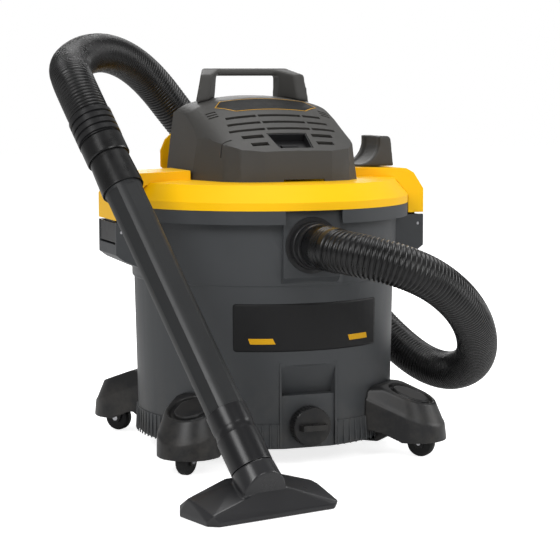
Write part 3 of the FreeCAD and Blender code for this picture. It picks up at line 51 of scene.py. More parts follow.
cameraSizes = {
    "distance": 2.869,        # along the floor from the drum's axis
    "azimuth": -19.618,       # round the object, to its left
    "height": 0.5738,
    "pitch": 6.193,           # looking down
    "yaw": 0.525,             # to the right of the axis
    "roll": -0.184,
    "lens": 116.2,
}


def makeCamera(c):
    lens = bpy.data.cameras.new("camera")
    lens.lens = c["lens"]
    lens.sensor_width = 36
    lens.clip_start = 0.05
    camera = bpy.data.objects.new("camera", lens)
    bpy.context.scene.collection.objects.link(camera)
    around = math.radians(c["azimuth"])
    heading = Matrix.Rotation(around - math.radians(c["yaw"]), 4, "Z")
    pitch = Matrix.Rotation(math.radians(90 - c["pitch"]), 4, "X")
    roll = Matrix.Rotation(math.radians(c["roll"]), 4, "Z")
    place = Matrix.Translation((c["distance"] * math.sin(around), -c["distance"] * math.cos(around),
                                c["height"]))
    camera.matrix_world = place @ heading @ pitch @ roll
    bpy.context.scene.camera = camera


lightSizes = {
    "key": {"place": (-2.6, -2.2, 2.4), "size": 1.6, "power": 62},
    "front": {"place": (0.6, -3.0, 1.9), "size": 1.6, "power": 30},
    "right": {"place": (3.0, -0.6, 1.5), "size": 1.6, "power": 34},
    "top": {"place": (0.2, 0.4, 3.0), "size": 1.8, "power": 34},
    "rear": {"place": (0.6, 3.0, 1.6), "size": 1.8, "power": 26},
}


def makeLights(lamps):
    for name, lamp in lamps.items():
        light = bpy.data.lights.new(name, "AREA")
        light.shape = "DISK"
        light.size = lamp["size"]
        light.energy = lamp["power"]
        holder = bpy.data.objects.new(name, light)
        bpy.context.scene.collection.objects.link(holder)
        holder.location = lamp["place"]
        aim = Vector((0, 0, 0.3)) - Vector(lamp["place"])
        holder.rotation_euler = aim.to_track_quat("-Z", "Y").to_euler()


# material tools

class Wire:
    # an output socket that can stand in a sum
    def __init__(self, finish, socket):
        self.finish = finish
        self.socket = socket

    def out(self, name):
        return Wire(self.finish, self.socket.node.outputs[name])

    def __add__(self, other):
        return self.finish.maths("ADD", self, other)

    def __radd__(self, other):
        return self.finish.maths("ADD", other, self)

    def __sub__(self, other):
        return self.finish.maths("SUBTRACT", self, other)

    def __rsub__(self, other):
        return self.finish.maths("SUBTRACT", other, self)

    def __mul__(self, other):
        return self.finish.maths("MULTIPLY", self, other)

    def __rmul__(self, other):
        return self.finish.maths("MULTIPLY", other, self)

    def __lt__(self, other):
        return self.finish.maths("LESS_THAN", self, other)


class Finish:
    # one material and its nodes
    def __init__(self, name):
        self.material = bpy.data.materials.new(name)
        self.material.use_nodes = True
        self.tree = self.material.node_tree
        self.tree.nodes.clear()

    def add(self, kind, settings=None, sockets=None):
        # any node: its settings first, then values or wires for its sockets
        item = self.tree.nodes.new(kind)
        for name, value in (settings or {}).items():
            setattr(item, name, value)
        for name, value in (sockets or {}).items():
            socket = item.inputs[name]
            if isinstance(value, Wire):
                self.tree.links.new(value.socket, socket)
            else:
                socket.default_value = value
        return Wire(self, item.outputs[0]) if len(item.outputs) else None

    def maths(self, operation, *values):
        return self.add("ShaderNodeMath", {"operation": operation}, dict(enumerate(values)))

    def place(self):
        return self.add("ShaderNodeTexCoord").out("Object")

    def parts(self, vector):
        split = self.add("ShaderNodeSeparateXYZ", {}, {"Vector": vector})
        return split, split.out("Y"), split.out("Z")

    def noise(self, scale, detail=3.0, rough=0.5, where=None):
        return self.add("ShaderNodeTexNoise", {}, {"Vector": where or self.place(), "Scale": scale,
                                                   "Detail": detail, "Roughness": rough})

    def stretched(self, scale):
        return self.add("ShaderNodeMapping", {}, {"Vector": self.place(), "Scale": scale})

    def spread(self, value, low, high, newLow=0.0, newHigh=1.0):
        return self.add("ShaderNodeMapRange", {"clamp": True},
                        {"Value": value, "From Min": low, "From Max": high,
                         "To Min": newLow, "To Max": newHigh})

    def blend(self, factor, first, second):
        mixed = self.add("ShaderNodeMix", {"data_type": "RGBA"}, {0: factor, 6: first, 7: second})
        return Wire(self, mixed.socket.node.outputs[2])

    def bump(self, height, strength, distance):
        return self.add("ShaderNodeBump", {}, {"Height": height, "Strength": strength, "Distance": distance})

    def shade(self, sockets):
        shader = self.add("ShaderNodeBsdfPrincipled", {}, sockets)
        self.add("ShaderNodeOutputMaterial", {}, {"Surface": shader})
        return self.material


def linear(red, green, blue):
    # a colour as it is seen, on a scale of 255, as the light that it returns
    parts = []
    for value in (red, green, blue):
        part = value / 255
        parts.append(part / 12.92 if part < 0.04045 else ((part + 0.055) / 1.055) ** 2.4)
    return parts


def tinted(colour, factor):
    return (*[min(1.0, part * factor) for part in colour], 1)


# finishes

mouldSizes = {
    "grainDepth": 0.00012,
    "grainStrength": 0.35,
    "shine": 0.32,
    "dustHigh": 0.16,         # dust lies below this height
    "dustShare": 0.16,
    "dust": (132, 126, 116),
}


def mouldedPlastic(name, colour, roughness, grain=900, dust=0.1, c=mouldSizes):
    # grained moulding: soft cloudy tone, stippled skin, faint handling marks and dust near the floor
    f = Finish(name)
    base = linear(*colour)
    cloud = f.noise(6, 4, 0.6)
    grainWire = f.noise(grain, 2, 0.6)
    marks = f.spread(f.noise(38, 6, 0.7), 0.56, 0.74)
    scratches = f.spread(f.noise(1, 5, 0.7, f.stretched((420, 60, 60))), 0.66, 0.72)
    height = f.parts(f.place())[2]
    low = f.spread(height, c["dustHigh"], 0.0) * f.spread(f.noise(26, 5, 0.65), 0.42, 0.7)
    tone = f.blend(f.spread(cloud, 0.3, 0.7), tinted(base, 0.94), tinted(base, 1.06))
    worn = f.blend(marks * dust, tone, tinted(base, 1.5))
    colourWire = f.blend(low * c["dustShare"], worn, (*linear(*c["dust"]), 1))
    rough = f.spread(cloud, 0.3, 0.7, roughness - 0.04, roughness + 0.04)
    rough = rough + marks * 0.06 + low * 0.12 + scratches * 0.05
    return f.shade({"Base Color": colourWire, "Roughness": rough,
                    "Normal": f.bump(grainWire, c["grainStrength"], c["grainDepth"]),
                    "Specular IOR Level": c["shine"]})


def glossPlastic(name, colour, roughness, shine=0.4):
    # smooth semi-gloss moulding with a slight orange-peel skin
    f = Finish(name)
    base = linear(*colour)
    cloud = f.noise(5, 3, 0.5)
    peel = f.noise(260, 2, 0.5)
    marks = f.spread(f.noise(60, 7, 0.7), 0.6, 0.74)
    tone = f.blend(f.spread(cloud, 0.3, 0.7), tinted(base, 0.96), tinted(base, 1.02))
    rough = f.spread(cloud, 0.3, 0.7, roughness - 0.03, roughness + 0.05) + marks * 0.1
    return f.shade({"Base Color": tone, "Roughness": rough, "Normal": f.bump(peel, 0.1, 0.0002),
                    "Specular IOR Level": shine})


def ribbedPlastic(name, colour):
    # glossy blown tube, duller where dust lies
    f = Finish(name)
    base = linear(*colour)
    dust = f.spread(f.noise(22, 6, 0.65), 0.45, 0.75)
    tone = f.blend(dust, tinted(base, 0.9), tinted(base, 1.15))
    rough = f.spread(f.noise(60, 4, 0.6), 0.3, 0.7, 0.24, 0.36)
    return f.shade({"Base Color": tone, "Roughness": rough, "Normal": f.bump(f.noise(500, 2), 0.1, 0.0001),
                    "Specular IOR Level": 0.4})


def metal(name, colour, roughness):
    # plated metal with fine drawn lines
    f = Finish(name)
    base = linear(*colour)
    lines = f.noise(1, 3, 0.6, f.stretched((60, 60, 900)))
    rough = f.spread(lines, 0.3, 0.7, roughness - 0.06, roughness + 0.08)
    return f.shade({"Base Color": f.blend(lines, tinted(base, 0.85), tinted(base, 1.1)), "Metallic": 1.0,
                    "Roughness": rough, "Normal": f.bump(lines, 0.1, 0.0001)})


def rubber(name, colour):
    f = Finish(name)
    base = linear(*colour)
    bloom = f.spread(f.noise(30, 6, 0.7), 0.4, 0.75)
    return f.shade({"Base Color": f.blend(bloom, tinted(base, 0.9), tinted(base, 1.6)),
                    "Roughness": f.spread(bloom, 0, 1, 0.5, 0.7), "Specular IOR Level": 0.35,
                    "Normal": f.bump(f.noise(700, 2), 0.2, 0.0002)})


def filterPaper(name):
    f = Finish(name)
    fibre = f.noise(240, 8, 0.75)
    stain = f.spread(f.noise(14, 5, 0.6), 0.5, 0.8)
    paper = f.blend(fibre, (0.72, 0.69, 0.6, 1), (0.86, 0.84, 0.76, 1))
    return f.shade({"Base Color": f.blend(stain * 0.3, paper, (0.5, 0.45, 0.36, 1)), "Roughness": 0.9,
                    "Normal": f.bump(fibre, 0.3, 0.0003)})


def insidePolygon(outline, along, across, margin):
    # 1 inside a convex outline drawn in a piece's own flat plan, moved in by a margin
    mask = None
    for (x0, y0), (x1, y1) in zip(outline, outline[1:] + outline[:1]):
        length = math.hypot(x1 - x0, y1 - y0)
        outX, outY = (y1 - y0) / length, (x0 - x1) / length
        reach = x0 * outX + y0 * outY - margin
        side = (along * outX + across * outY) < reach
        mask = side if mask is None else mask * side
    return mask


def printedPlate(name, ground, ink, shapes, line=None):
    # a dull black film with plain printed shapes: solid bars, or one outline of a given line width
    f = Finish(name)
    plan = f.add("ShaderNodeUVMap", {"uv_map": "plan"})
    across = f.parts(plan)
    along, up = across[0], across[1]
    total = 0.0
    for shape in shapes:
        if line:
            outer = insidePolygon(shape, along, up, 0.0)
            inner = insidePolygon(shape, along, up, line)
            total = total + (outer - inner)
        else:
            total = total + insidePolygon(shape, along, up, 0.0)
    wear = f.spread(f.noise(300, 5, 0.7), 0.62, 0.7)
    inkBase = linear(*ink)
    groundBase = linear(*ground)
    speck = f.noise(80, 4, 0.6)
    film = f.blend(speck, tinted(groundBase, 0.85), tinted(groundBase, 1.2))
    colour = f.blend(total * (1 - wear * 0.25), film, tinted(inkBase, 1.0))
    return f.shade({"Base Color": colour, "Roughness": f.spread(speck, 0.3, 0.7, 0.46, 0.56),
                    "Specular IOR Level": 0.22, "Normal": f.bump(f.noise(600, 2), 0.08, 0.0001)})


drumGrey = mouldedPlastic("drum_grey", (60, 62, 64), 0.46)
lidYellow = glossPlastic("lid_yellow", (252, 194, 0), 0.38, 0.24)
coverGrey = mouldedPlastic("cover_grey", (62, 61, 59), 0.5)
footBlack = mouldedPlastic("foot_black", (30, 30, 31), 0.38, dust=0.08)
wandBlack = mouldedPlastic("wand_black", (36, 37, 38), 0.36, grain=1200, dust=0.06)
hoseBlack = ribbedPlastic("hose_black", (9, 9, 10))
cuffBlack = mouldedPlastic("cuff_black", (28, 28, 29), 0.3, dust=0.06)
castorBlack = mouldedPlastic("castor_black", (26, 26, 27), 0.36)
treadRubber = rubber("tread_rubber", (22, 22, 23))
sealRubber = rubber("seal_rubber", (20, 20, 21))
platedSteel = metal("plated_steel", (190, 190, 194), 0.3)
lamination = metal("lamination", (120, 112, 104), 0.5)
fanAlloy = metal("fan_alloy", (205, 206, 208), 0.34)
switchBlack = glossPlastic("switch_black", (16, 16, 17), 0.34, 0.3)
drainBlack = mouldedPlastic("drain_black", (27, 27, 28), 0.36, dust=0.06)
couplerBlack = glossPlastic("coupler_black", (22, 22, 24), 0.3, 0.32)
nozzleBlack = glossPlastic("nozzle_black", (34, 34, 36), 0.3, 0.42)
pleatPaper = filterPaper("pleat_paper")

finishes = {
    "drum_grey": drumGrey, "lid_yellow": lidYellow, "cover_grey": coverGrey, "foot_black": footBlack,
    "hose_black": hoseBlack, "wand_black": wandBlack, "castor_black": castorBlack, "wheel_black": treadRubber,
    "steel": platedSteel, "lamination": lamination, "fan_alloy": fanAlloy, "seal_rubber": sealRubber,
    "switch_face": switchBlack, "filter_paper": pleatPaper,
}
print("finishes made:", len(bpy.data.materials))


# pieces

def slotOf(node):
    for part in frame["record"]["subparts"]:
        if part["node"] == node:
            return part["material_slot"]


def bodyOf(node):
    for body, members in frame["record"]["behaviour"]["bodies"].items():
        if node in members:
            return body


def linked(name, mesh, material=None):
    # an object at the origin for a finished mesh
    if material:
        mesh.materials.clear()
        mesh.materials.append(material)
    piece = bpy.data.objects.new(name, mesh)
    bpy.context.scene.collection.objects.link(piece)
    return piece


def evaluated(holder, name):
    # the finished mesh of an object with modifiers, as a plain piece
    bpy.context.view_layer.update()
    graph = bpy.context.evaluated_depsgraph_get()
    mesh = bpy.data.meshes.new_from_object(holder.evaluated_get(graph), depsgraph=graph)
    mesh.name = name
    piece = bpy.data.objects.new(name, mesh)
    bpy.context.scene.collection.objects.link(piece)
    bpy.data.objects.remove(holder)
    return piece


def fixed(piece, body, slot, *replaced):
    # a finished piece rides on its body and stands for its CAD parts
    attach(piece, body)
    if replaced:
        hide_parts(*replaced)
    return piece


def finishNode(node):
    # a CAD part that stays in view gets its finish
    holder = nodes[node]
    holder.data.materials.clear()
    holder.data.materials.append(finishes[slotOf(node)])


def mergedCopy(node):
    # the CAD part's mesh with its loose triangles joined
    work = bmesh.new()
    work.from_mesh(nodes[node].data)
    bmesh.ops.remove_doubles(work, verts=work.verts, dist=1e-5)
    return work


edgeSizes = {
    "fine": 0.0005,           # break on the small edges
    "mainTurn": 14,           # least turn of an edge that gets the broad rounding, degrees
    "fineTurn": 35,
    "mainSteps": 3,
    "sharpTurn": 26,          # edges that turn more than this stay sharp
    "flatTurn": 0.5,          # facets that turn less than this are one face
}


def faceWidth(face):
    return face.calc_area() / (face.calc_perimeter() / 2)


def dress(node, bevel, material=None, c=edgeSizes):
    # the CAD part again: broad rounding on the main edges, a fine break on the small ones
    work = mergedCopy(node)
    bmesh.ops.dissolve_limit(work, angle_limit=math.radians(c["flatTurn"]), verts=work.verts,
                             edges=work.edges)
    for radius, steep, parts in ((bevel, c["mainTurn"], c["mainSteps"]), (c["fine"], c["fineTurn"], 1)):
        chosen = []
        for edge in work.edges:
            if len(edge.link_faces) != 2 or edge.calc_length() < radius * 1.2:
                continue
            if not edge.is_convex or edge.calc_face_angle(0) < math.radians(steep):
                continue
            if min(faceWidth(face) for face in edge.link_faces) > radius * 2.1:
                chosen.append(edge)
        bmesh.ops.bevel(work, geom=chosen, offset=radius, offset_type="OFFSET", segments=parts, profile=0.5,
                        affect="EDGES", clamp_overlap=True)
    mesh = bpy.data.meshes.new(f"{node}_moulded")
    work.to_mesh(mesh)
    work.free()
    mesh.shade_smooth()
    mesh.set_sharp_from_angle(angle=math.radians(c["sharpTurn"]))
    piece = linked(mesh.name, mesh, material or finishes[slotOf(node)])
    weights = piece.modifiers.new("weighted", "WEIGHTED_NORMAL")
    weights.keep_sharp = True
    return fixed(piece, bodyOf(node), slotOf(node), node)


def soften(node, voxel, passes):
    # the CAD part again as one soft moulding, its corners and hollows rounded all over
    work = mergedCopy(node)
    mesh = bpy.data.meshes.new(f"{node}_soft")
    work.to_mesh(mesh)
    work.free()
    holder = linked(mesh.name, mesh)
    return softenHolder(holder, f"{node}_moulded", voxel, passes, finishes[slotOf(node)], bodyOf(node),
                        slotOf(node), node)


def softenHolder(holder, name, voxel, passes, material, body, slot, *replaced):
    remesh = holder.modifiers.new("remesh", "REMESH")
    remesh.mode = "VOXEL"
    remesh.voxel_size = voxel
    smooth = holder.modifiers.new("smooth", "SMOOTH")
    smooth.factor = 0.5
    smooth.iterations = passes
    piece = evaluated(holder, name)
    piece.data.materials.clear()
    piece.data.materials.append(material)
    piece.data.shade_smooth()
    return fixed(piece, body, slot, *replaced)


# hose

hoseSizes = {
    "diameter": 0.063,
    "openPitch": 0.0066,      # rib pitch where the hose is stretched
    "closedPitch": 0.0052,    # rib pitch where it is pushed together, by the wand
    "closeFrom": 1.15,        # where the pitch starts to shrink, from the inlet
    "ribDepth": 0.0036,
    "sleeve": 0.052,          # moulded sleeve over the start of the hose
    "sleeveRibs": (0.025, 0.043),
    "sleeveWall": 0.0014,
    "sleeveRibShare": 0.4,    # depth of the sleeve's ribs, as a share of the hose's
    "crest": 0.6,             # below 1 gives broad crests and narrow valleys
    "ringsPerRib": 7,
    "facets": 34,
}
hoseRoute = [
    (3, -246, 336), (3, -296, 335), (28, -338, 330), (74, -361, 318), (128, -356, 296),
    (180, -328, 264), (226, -284, 228), (266, -228, 190), (298, -164, 150), (314, -96, 118),
    (310, -30, 101), (292, 30, 108), (268, 88, 138), (238, 144, 186), (198, 196, 234),
    (148, 236, 288), (96, 260, 342), (42, 272, 402), (-12, 273, 466), (-62, 265, 524),
    (-108, 246, 576), (-156, 214, 610), (-208, 170, 626), (-256, 116, 622), (-291, 62, 608),
    (-311, 4, 596), (-318, -44, 582),
]
wandTop = Vector((-307.8, -108.6, 524.4)) / 1000
wandWay = Vector((0.2140, -0.5908, -0.7779)).normalized()


def routeCurve():
    # the hose's line, a smooth spline with the route as its control points
    points = [Vector(point) / 1000 for point in hoseRoute] + [wandTop - wandWay * 0.05, wandTop]
    curve = bpy.data.curves.new("hose_line", "CURVE")
    curve.dimensions = "3D"
    spline = curve.splines.new("NURBS")
    spline.points.add(len(points) - 1)
    for item, point in zip(spline.points, points):
        item.co = (*point, 1)
    spline.order_u = 3
    spline.use_endpoint_u = True
    spline.resolution_u = 24
    return curve


def pathPoints(curve):
    # points along the spline, in order
    holder = bpy.data.objects.new("hose_path", curve)
    bpy.context.scene.collection.objects.link(holder)
    bpy.context.view_layer.update()
    graph = bpy.context.evaluated_depsgraph_get()
    mesh = bpy.data.meshes.new_from_object(holder.evaluated_get(graph), depsgraph=graph)
    points = [vertex.co.copy() for vertex in mesh.vertices]
    bpy.data.objects.remove(holder)
    return points


class Tree:
    # one geometry node group with named inputs
    def __init__(self, name, inputs):
        self.group = bpy.data.node_groups.new(name, "GeometryNodeTree")
        self.group.is_modifier = True
        self.group.interface.new_socket("Geometry", in_out="INPUT", socket_type="NodeSocketGeometry")
        self.named = {}
        for label, kind in inputs.items():
            socket = self.group.interface.new_socket(label, in_out="INPUT", socket_type=f"NodeSocket{kind}")
            self.named[label] = socket.identifier
        self.group.interface.new_socket("Geometry", in_out="OUTPUT", socket_type="NodeSocketGeometry")
        self.entry = self.group.nodes.new("NodeGroupInput")
        self.exit = self.group.nodes.new("NodeGroupOutput")

    def add(self, kind, settings=None, sockets=None):
        item = self.group.nodes.new(kind)
        for name, value in (settings or {}).items():
            setattr(item, name, value)
        for name, value in (sockets or {}).items():
            if isinstance(value, bpy.types.NodeSocket):
                self.group.links.new(value, item.inputs[name])
            else:
                item.inputs[name].default_value = value
        return item

    def given(self, label):
        return self.entry.outputs[label]

    def maths(self, operation, first, second=0.0):
        return self.add("ShaderNodeMath", {"operation": operation}, {0: first, 1: second}).outputs[0]

    def finish(self, geometry, material):
        real = self.add("GeometryNodeRealizeInstances", {}, {"Geometry": geometry})
        painted = self.add("GeometryNodeSetMaterial", {}, {"Geometry": real.outputs[0], "Material": material})
        self.group.links.new(painted.outputs[0], self.exit.inputs[0])

    def apply(self, holder, name, values):
        # runs the group on a holder and keeps the result as a plain piece
        modifier = holder.modifiers.new(name, "NODES")
        modifier.node_group = self.group
        for label, value in values.items():
            modifier[self.named[label]] = value
        return evaluated(holder, name)


def hoseTree(c):
    # rings at equal steps of a rib, set along the line by the rib pitch there, each with its own radius
    tree = Tree("hose_ribs", {"Radius": "Float", "Open pitch": "Float", "Tightening": "Float",
                              "Tighten from": "Float", "Rib depth": "Float", "Rings": "Int",
                              "Rings per rib": "Float", "Facets": "Int", "Sleeve": "Float",
                              "Sleeve wall": "Float", "Sleeve ribs from": "Float", "Sleeve ribs to": "Float"})

    maths = tree.maths
    index = tree.add("GeometryNodeInputIndex").outputs[0]
    ribs = maths("DIVIDE", index, tree.given("Rings per rib"))
    rate = maths("DIVIDE", 1.0, tree.given("Open pitch"))
    begin = maths("MULTIPLY", tree.given("Tighten from"), rate)
    beyond = maths("MAXIMUM", maths("SUBTRACT", ribs, begin), 0.0)
    four = maths("MULTIPLY", maths("MULTIPLY", tree.given("Tightening"), 4.0), beyond)
    root = maths("SQRT", maths("ADD", maths("MULTIPLY", rate, rate), four))
    closing = maths("DIVIDE", maths("SUBTRACT", root, rate), maths("MULTIPLY", tree.given("Tightening"), 2.0))
    opened = maths("DIVIDE", maths("MINIMUM", ribs, begin), rate)
    along = maths("ADD", opened, closing)
    line = tree.add("GeometryNodeResampleCurve", {"mode": "COUNT"},
                    {"Curve": tree.given("Geometry"), "Count": tree.given("Rings")})
    spot = tree.add("GeometryNodeSampleCurve", {"mode": "LENGTH"},
                    {"Curves": tree.given("Geometry"), "Length": along})
    moved = tree.add("GeometryNodeSetPosition", {}, {"Geometry": line.outputs[0],
                                                     "Position": spot.outputs["Position"]})
    wave = maths("ABSOLUTE", maths("SINE", maths("MULTIPLY", ribs, math.pi)))
    crest = maths("POWER", wave, c["crest"])
    inSleeve = maths("LESS_THAN", along, tree.given("Sleeve"))
    ribbed = maths("MULTIPLY", maths("GREATER_THAN", along, tree.given("Sleeve ribs from")),
                   maths("LESS_THAN", along, tree.given("Sleeve ribs to")))
    sleeveShare = maths("SUBTRACT", 1.0, maths("MULTIPLY", ribbed, c["sleeveRibShare"]))
    share = maths("SUBTRACT", 1.0, maths("MULTIPLY", inSleeve, sleeveShare))
    depth = maths("MULTIPLY", tree.given("Rib depth"), share)
    full = maths("ADD", tree.given("Radius"), maths("MULTIPLY", tree.given("Sleeve wall"), inSleeve))
    radius = maths("SUBTRACT", full, maths("MULTIPLY", depth, maths("SUBTRACT", 1.0, crest)))
    ringShape = tree.add("GeometryNodeCurvePrimitiveCircle", {"mode": "RADIUS"},
                         {"Resolution": tree.given("Facets"), "Radius": 1.0})
    tube = tree.add("GeometryNodeCurveToMesh", {}, {
        "Curve": moved.outputs[0], "Profile Curve": ringShape.outputs[0], "Scale": radius, "Fill Caps": True})
    smooth = tree.add("GeometryNodeSetShadeSmooth", {}, {"Geometry": tube.outputs[0]})
    tree.finish(smooth.outputs[0], hoseBlack)
    return tree


def makeHose(c):
    curve = routeCurve()
    path = pathPoints(curve.copy())
    length = sum((after - before).length for before, after in zip(path, path[1:]))
    holder = bpy.data.objects.new("hose_holder", curve)
    bpy.context.scene.collection.objects.link(holder)
    closing = (1 / c["closedPitch"] - 1 / c["openPitch"]) / (2 * (length - c["closeFrom"]))
    ribs = length / c["openPitch"] + closing * (length - c["closeFrom"]) ** 2
    hose = hoseTree(c).apply(holder, "hose_tube", {
        "Radius": c["diameter"] / 2, "Open pitch": c["openPitch"], "Tightening": closing,
        "Tighten from": c["closeFrom"], "Rib depth": c["ribDepth"], "Rings": int(ribs * c["ringsPerRib"]),
        "Rings per rib": float(c["ringsPerRib"]), "Facets": c["facets"], "Sleeve": c["sleeve"],
        "Sleeve wall": c["sleeveWall"], "Sleeve ribs from": c["sleeveRibs"][0],
        "Sleeve ribs to": c["sleeveRibs"][1]})
    fixed(hose, "drum", "hose_black", "hose")
    return hose, path


def declareHose(hose, path):
    length = sum((after - before).length for before, after in zip(path, path[1:]))
    print(f"hose: {length:.3f} m, {len(hose.data.polygons)} faces")


makeCamera(cameraSizes)
makeLights(lightSizes)
hoseTube, hosePath = makeHose(hoseSizes)


# moulded parts

roundings = {
    "drum": 0.0016, "lid": 0.003, "motor_cover": 0.0018, "vent_grille": 0.0008,
    "rear_flange": 0.0012, "inlet_port": 0.001, "drain_spout": 0.0006, "hose_inlet_cuff": 0.0008,
    "hose_boot": 0.001, "hose_collar": 0.0008, "wand_cuff": 0.001, "wand": 0.0006, "wand_coupler": 0.0008,
    "blower_port": 0.0008, "cord_gland": 0.0006, "switch_bezel": 0.0006, "power_switch": 0.0006,
    "latch_left": 0.0012, "latch_right": 0.0012, "drain_cap": 0.0008,
}
for corner in corners:
    roundings[f"castor_fork_{corner}"] = 0.0006
    roundings[f"castor_wheel_{corner}"] = 0.0004
softened = {"handle": (0.0018, 14), "accessory_cradle": (0.0018, 8)}
for corner in corners:
    softened[f"foot_{corner}"] = (0.0018, 9)
special = {"hose_inlet_cuff": cuffBlack, "hose_boot": cuffBlack, "wand_coupler": couplerBlack,
           "drain_cap": drainBlack, "drain_spout": drainBlack}

for name in nodes:
    if name in ("hose", "floor_nozzle"):
        continue
    if name in softened:
        soften(name, *softened[name])
    elif name in roundings:
        dress(name, roundings[name], material=special.get(name))
    else:
        finishNode(name)
print("moulded parts:", len(roundings) + len(softened))


# floor nozzle

nozzleSizes = {
    "middle": (-0.168, -0.449), "turn": 13.9,
    "long": 0.104, "deep": 0.047, "corner": 0.013,
    "lip": 0.007,             # height of the upright edge at the floor
    "hood": [(-0.100, -0.044, 0.016), (0.100, -0.044, 0.011), (-0.100, 0.004, 0.026), (0.100, 0.004, 0.026),
             (-0.100, 0.020, 0.028), (0.100, 0.020, 0.028), (-0.034, 0.004, 0.045), (0.040, 0.004, 0.045),
             (-0.034, 0.030, 0.045), (0.040, 0.030, 0.045), (0.008, -0.031, 0.044),
             (-0.099, 0.043, 0.014), (0.099, 0.043, 0.014)],
    "neck": (0.030, 0.036), "neckFrom": 0.594, "neckTo": 0.664,
    "neckCuts": [((0, -0.038, 0.044), (0, -1, -0.42)), ((0, 0, 0.012), (0, 0, -1))],
    "wall": 0.003, "voxel": 0.0013, "passes": 4,
}


def makeNozzle(c):
    # a shell with a soft ridge and an open mouth, and the neck that the wand's coupler seats in
    long, deep, cut = c["long"], c["deep"], c["corner"]
    plan = [(long, cut - deep), (long, deep - cut), (long - cut, deep), (cut - long, deep),
            (-long, deep - cut), (-long, cut - deep), (cut - long, -deep), (long - cut, -deep)]
    seat = Matrix.Translation((*c["middle"], 0)) @ Matrix.Rotation(math.radians(c["turn"]), 4, "Z")
    tall = c["neckTo"] - c["neckFrom"]
    along = wandWay.to_track_quat("Z", "Y").to_matrix().to_4x4()
    spot = Matrix.Translation(wandTop + wandWay * (c["neckFrom"] + tall / 2)) @ along
    shell = bmesh.new()
    bmesh.ops.create_cone(shell, cap_ends=True, segments=64, radius1=c["neck"][0], radius2=c["neck"][1],
                          depth=tall, matrix=seat.inverted() @ spot)
    for place, way in c["neckCuts"]:
        whole = list(shell.verts) + list(shell.edges) + list(shell.faces)
        newParts = bmesh.ops.bisect_plane(shell, geom=whole, plane_co=place, plane_no=way,
                                          clear_outer=True)["geom_cut"]
        bmesh.ops.holes_fill(shell, edges=[item for item in newParts if isinstance(item, bmesh.types.BMEdge)])
    points = [(x, y, z) for x, y in plan for z in (0.0006, c["lip"])] + c["hood"]
    hood = bmesh.ops.convex_hull(shell, input=[shell.verts.new(point) for point in points])["geom"]
    bmesh.ops.recalc_face_normals(shell, faces=shell.faces)
    under = [item for item in hood if isinstance(item, bmesh.types.BMFace) and item.normal.z < -0.9]
    bmesh.ops.delete(shell, geom=under, context="FACES")
    bmesh.ops.transform(shell, matrix=seat, verts=shell.verts)
    mesh = bpy.data.meshes.new("nozzle_shell")
    shell.to_mesh(mesh)
    shell.free()
    holder = linked("nozzle_shell", mesh)
    wall = holder.modifiers.new("wall", "SOLIDIFY")
    wall.thickness = c["wall"]
    wall.offset = -1
    return softenHolder(holder, "floor_nozzle_moulded", c["voxel"], c["passes"], nozzleBlack,
                        bodyOf("floor_nozzle"), slotOf("floor_nozzle"), "floor_nozzle")


makeNozzle(nozzleSizes)
declareHose(hoseTube, hosePath)


# plates and drum detail

def surfaceOf(node):
    work = mergedCopy(node)
    tree = BVHTree.FromBMesh(work)
    work.free()
    return tree


def filmPiece(name, outline, cell, probe, target, thick, material, body, slot):
    # a thin film cut to a convex outline in a flat plan, laid on the surface that each probe ray meets
    xs = [x for x, y in outline]
    ys = [y for x, y in outline]
    work = bmesh.new()
    columns = int((max(xs) - min(xs)) / cell) + 1
    rows = int((max(ys) - min(ys)) / cell) + 1
    bmesh.ops.create_grid(work, x_segments=columns, y_segments=rows, size=0.5)
    for vertex in work.verts:
        vertex.co.x = min(xs) + (vertex.co.x + 0.5) * (max(xs) - min(xs))
        vertex.co.y = min(ys) + (vertex.co.y + 0.5) * (max(ys) - min(ys))
    for (x0, y0), (x1, y1) in zip(outline, outline[1:] + outline[:1]):
        bmesh.ops.bisect_plane(work, geom=list(work.verts) + list(work.edges) + list(work.faces),
                               plane_co=(x0, y0, 0), plane_no=(y1 - y0, x0 - x1, 0), clear_outer=True)
    plan = work.loops.layers.uv.new("plan")
    for face in work.faces:
        for loop in face.loops:
            loop[plan].uv = (loop.vert.co.x, loop.vert.co.y)
    for vertex in work.verts:
        start, way = probe(vertex.co.x, vertex.co.y)
        hit = target.ray_cast(start, way)[0]
        vertex.co = (hit or start) - way * thick
    mesh = bpy.data.meshes.new(name)
    work.to_mesh(mesh)
    work.free()
    mesh.shade_smooth()
    piece = linked(name, mesh, material)
    wall = piece.modifiers.new("thickness", "SOLIDIFY")
    wall.thickness = thick * 0.8
    wall.offset = -1
    return fixed(piece, body, slot)


def roundedRectangle(x0, y0, x1, y1, radius, steps):
    points = []
    for centreX, centreY, first in ((x1 - radius, y0 + radius, -90), (x1 - radius, y1 - radius, 0),
                                    (x0 + radius, y1 - radius, 90), (x0 + radius, y0 + radius, 180)):
        for step in range(steps + 1):
            angle = math.radians(first + 90 * step / steps)
            points.append((centreX + radius * math.cos(angle), centreY + radius * math.sin(angle)))
    return points


panelSizes = {
    "left": -0.1160, "right": 0.1305,   # along the drum's round wall, from its front
    "low": 0.1765, "high": 0.2485,
    "corner": 0.005, "cornerSteps": 5,
    "bars": [(-0.0900, -0.0523, -0.0563, -0.0933), (0.0702, 0.1098, 0.1072, 0.0672)],
    "barLow": 0.1880, "barHigh": 0.1965,
    "wall": 0.2038,                      # radius that the plan is measured on
}


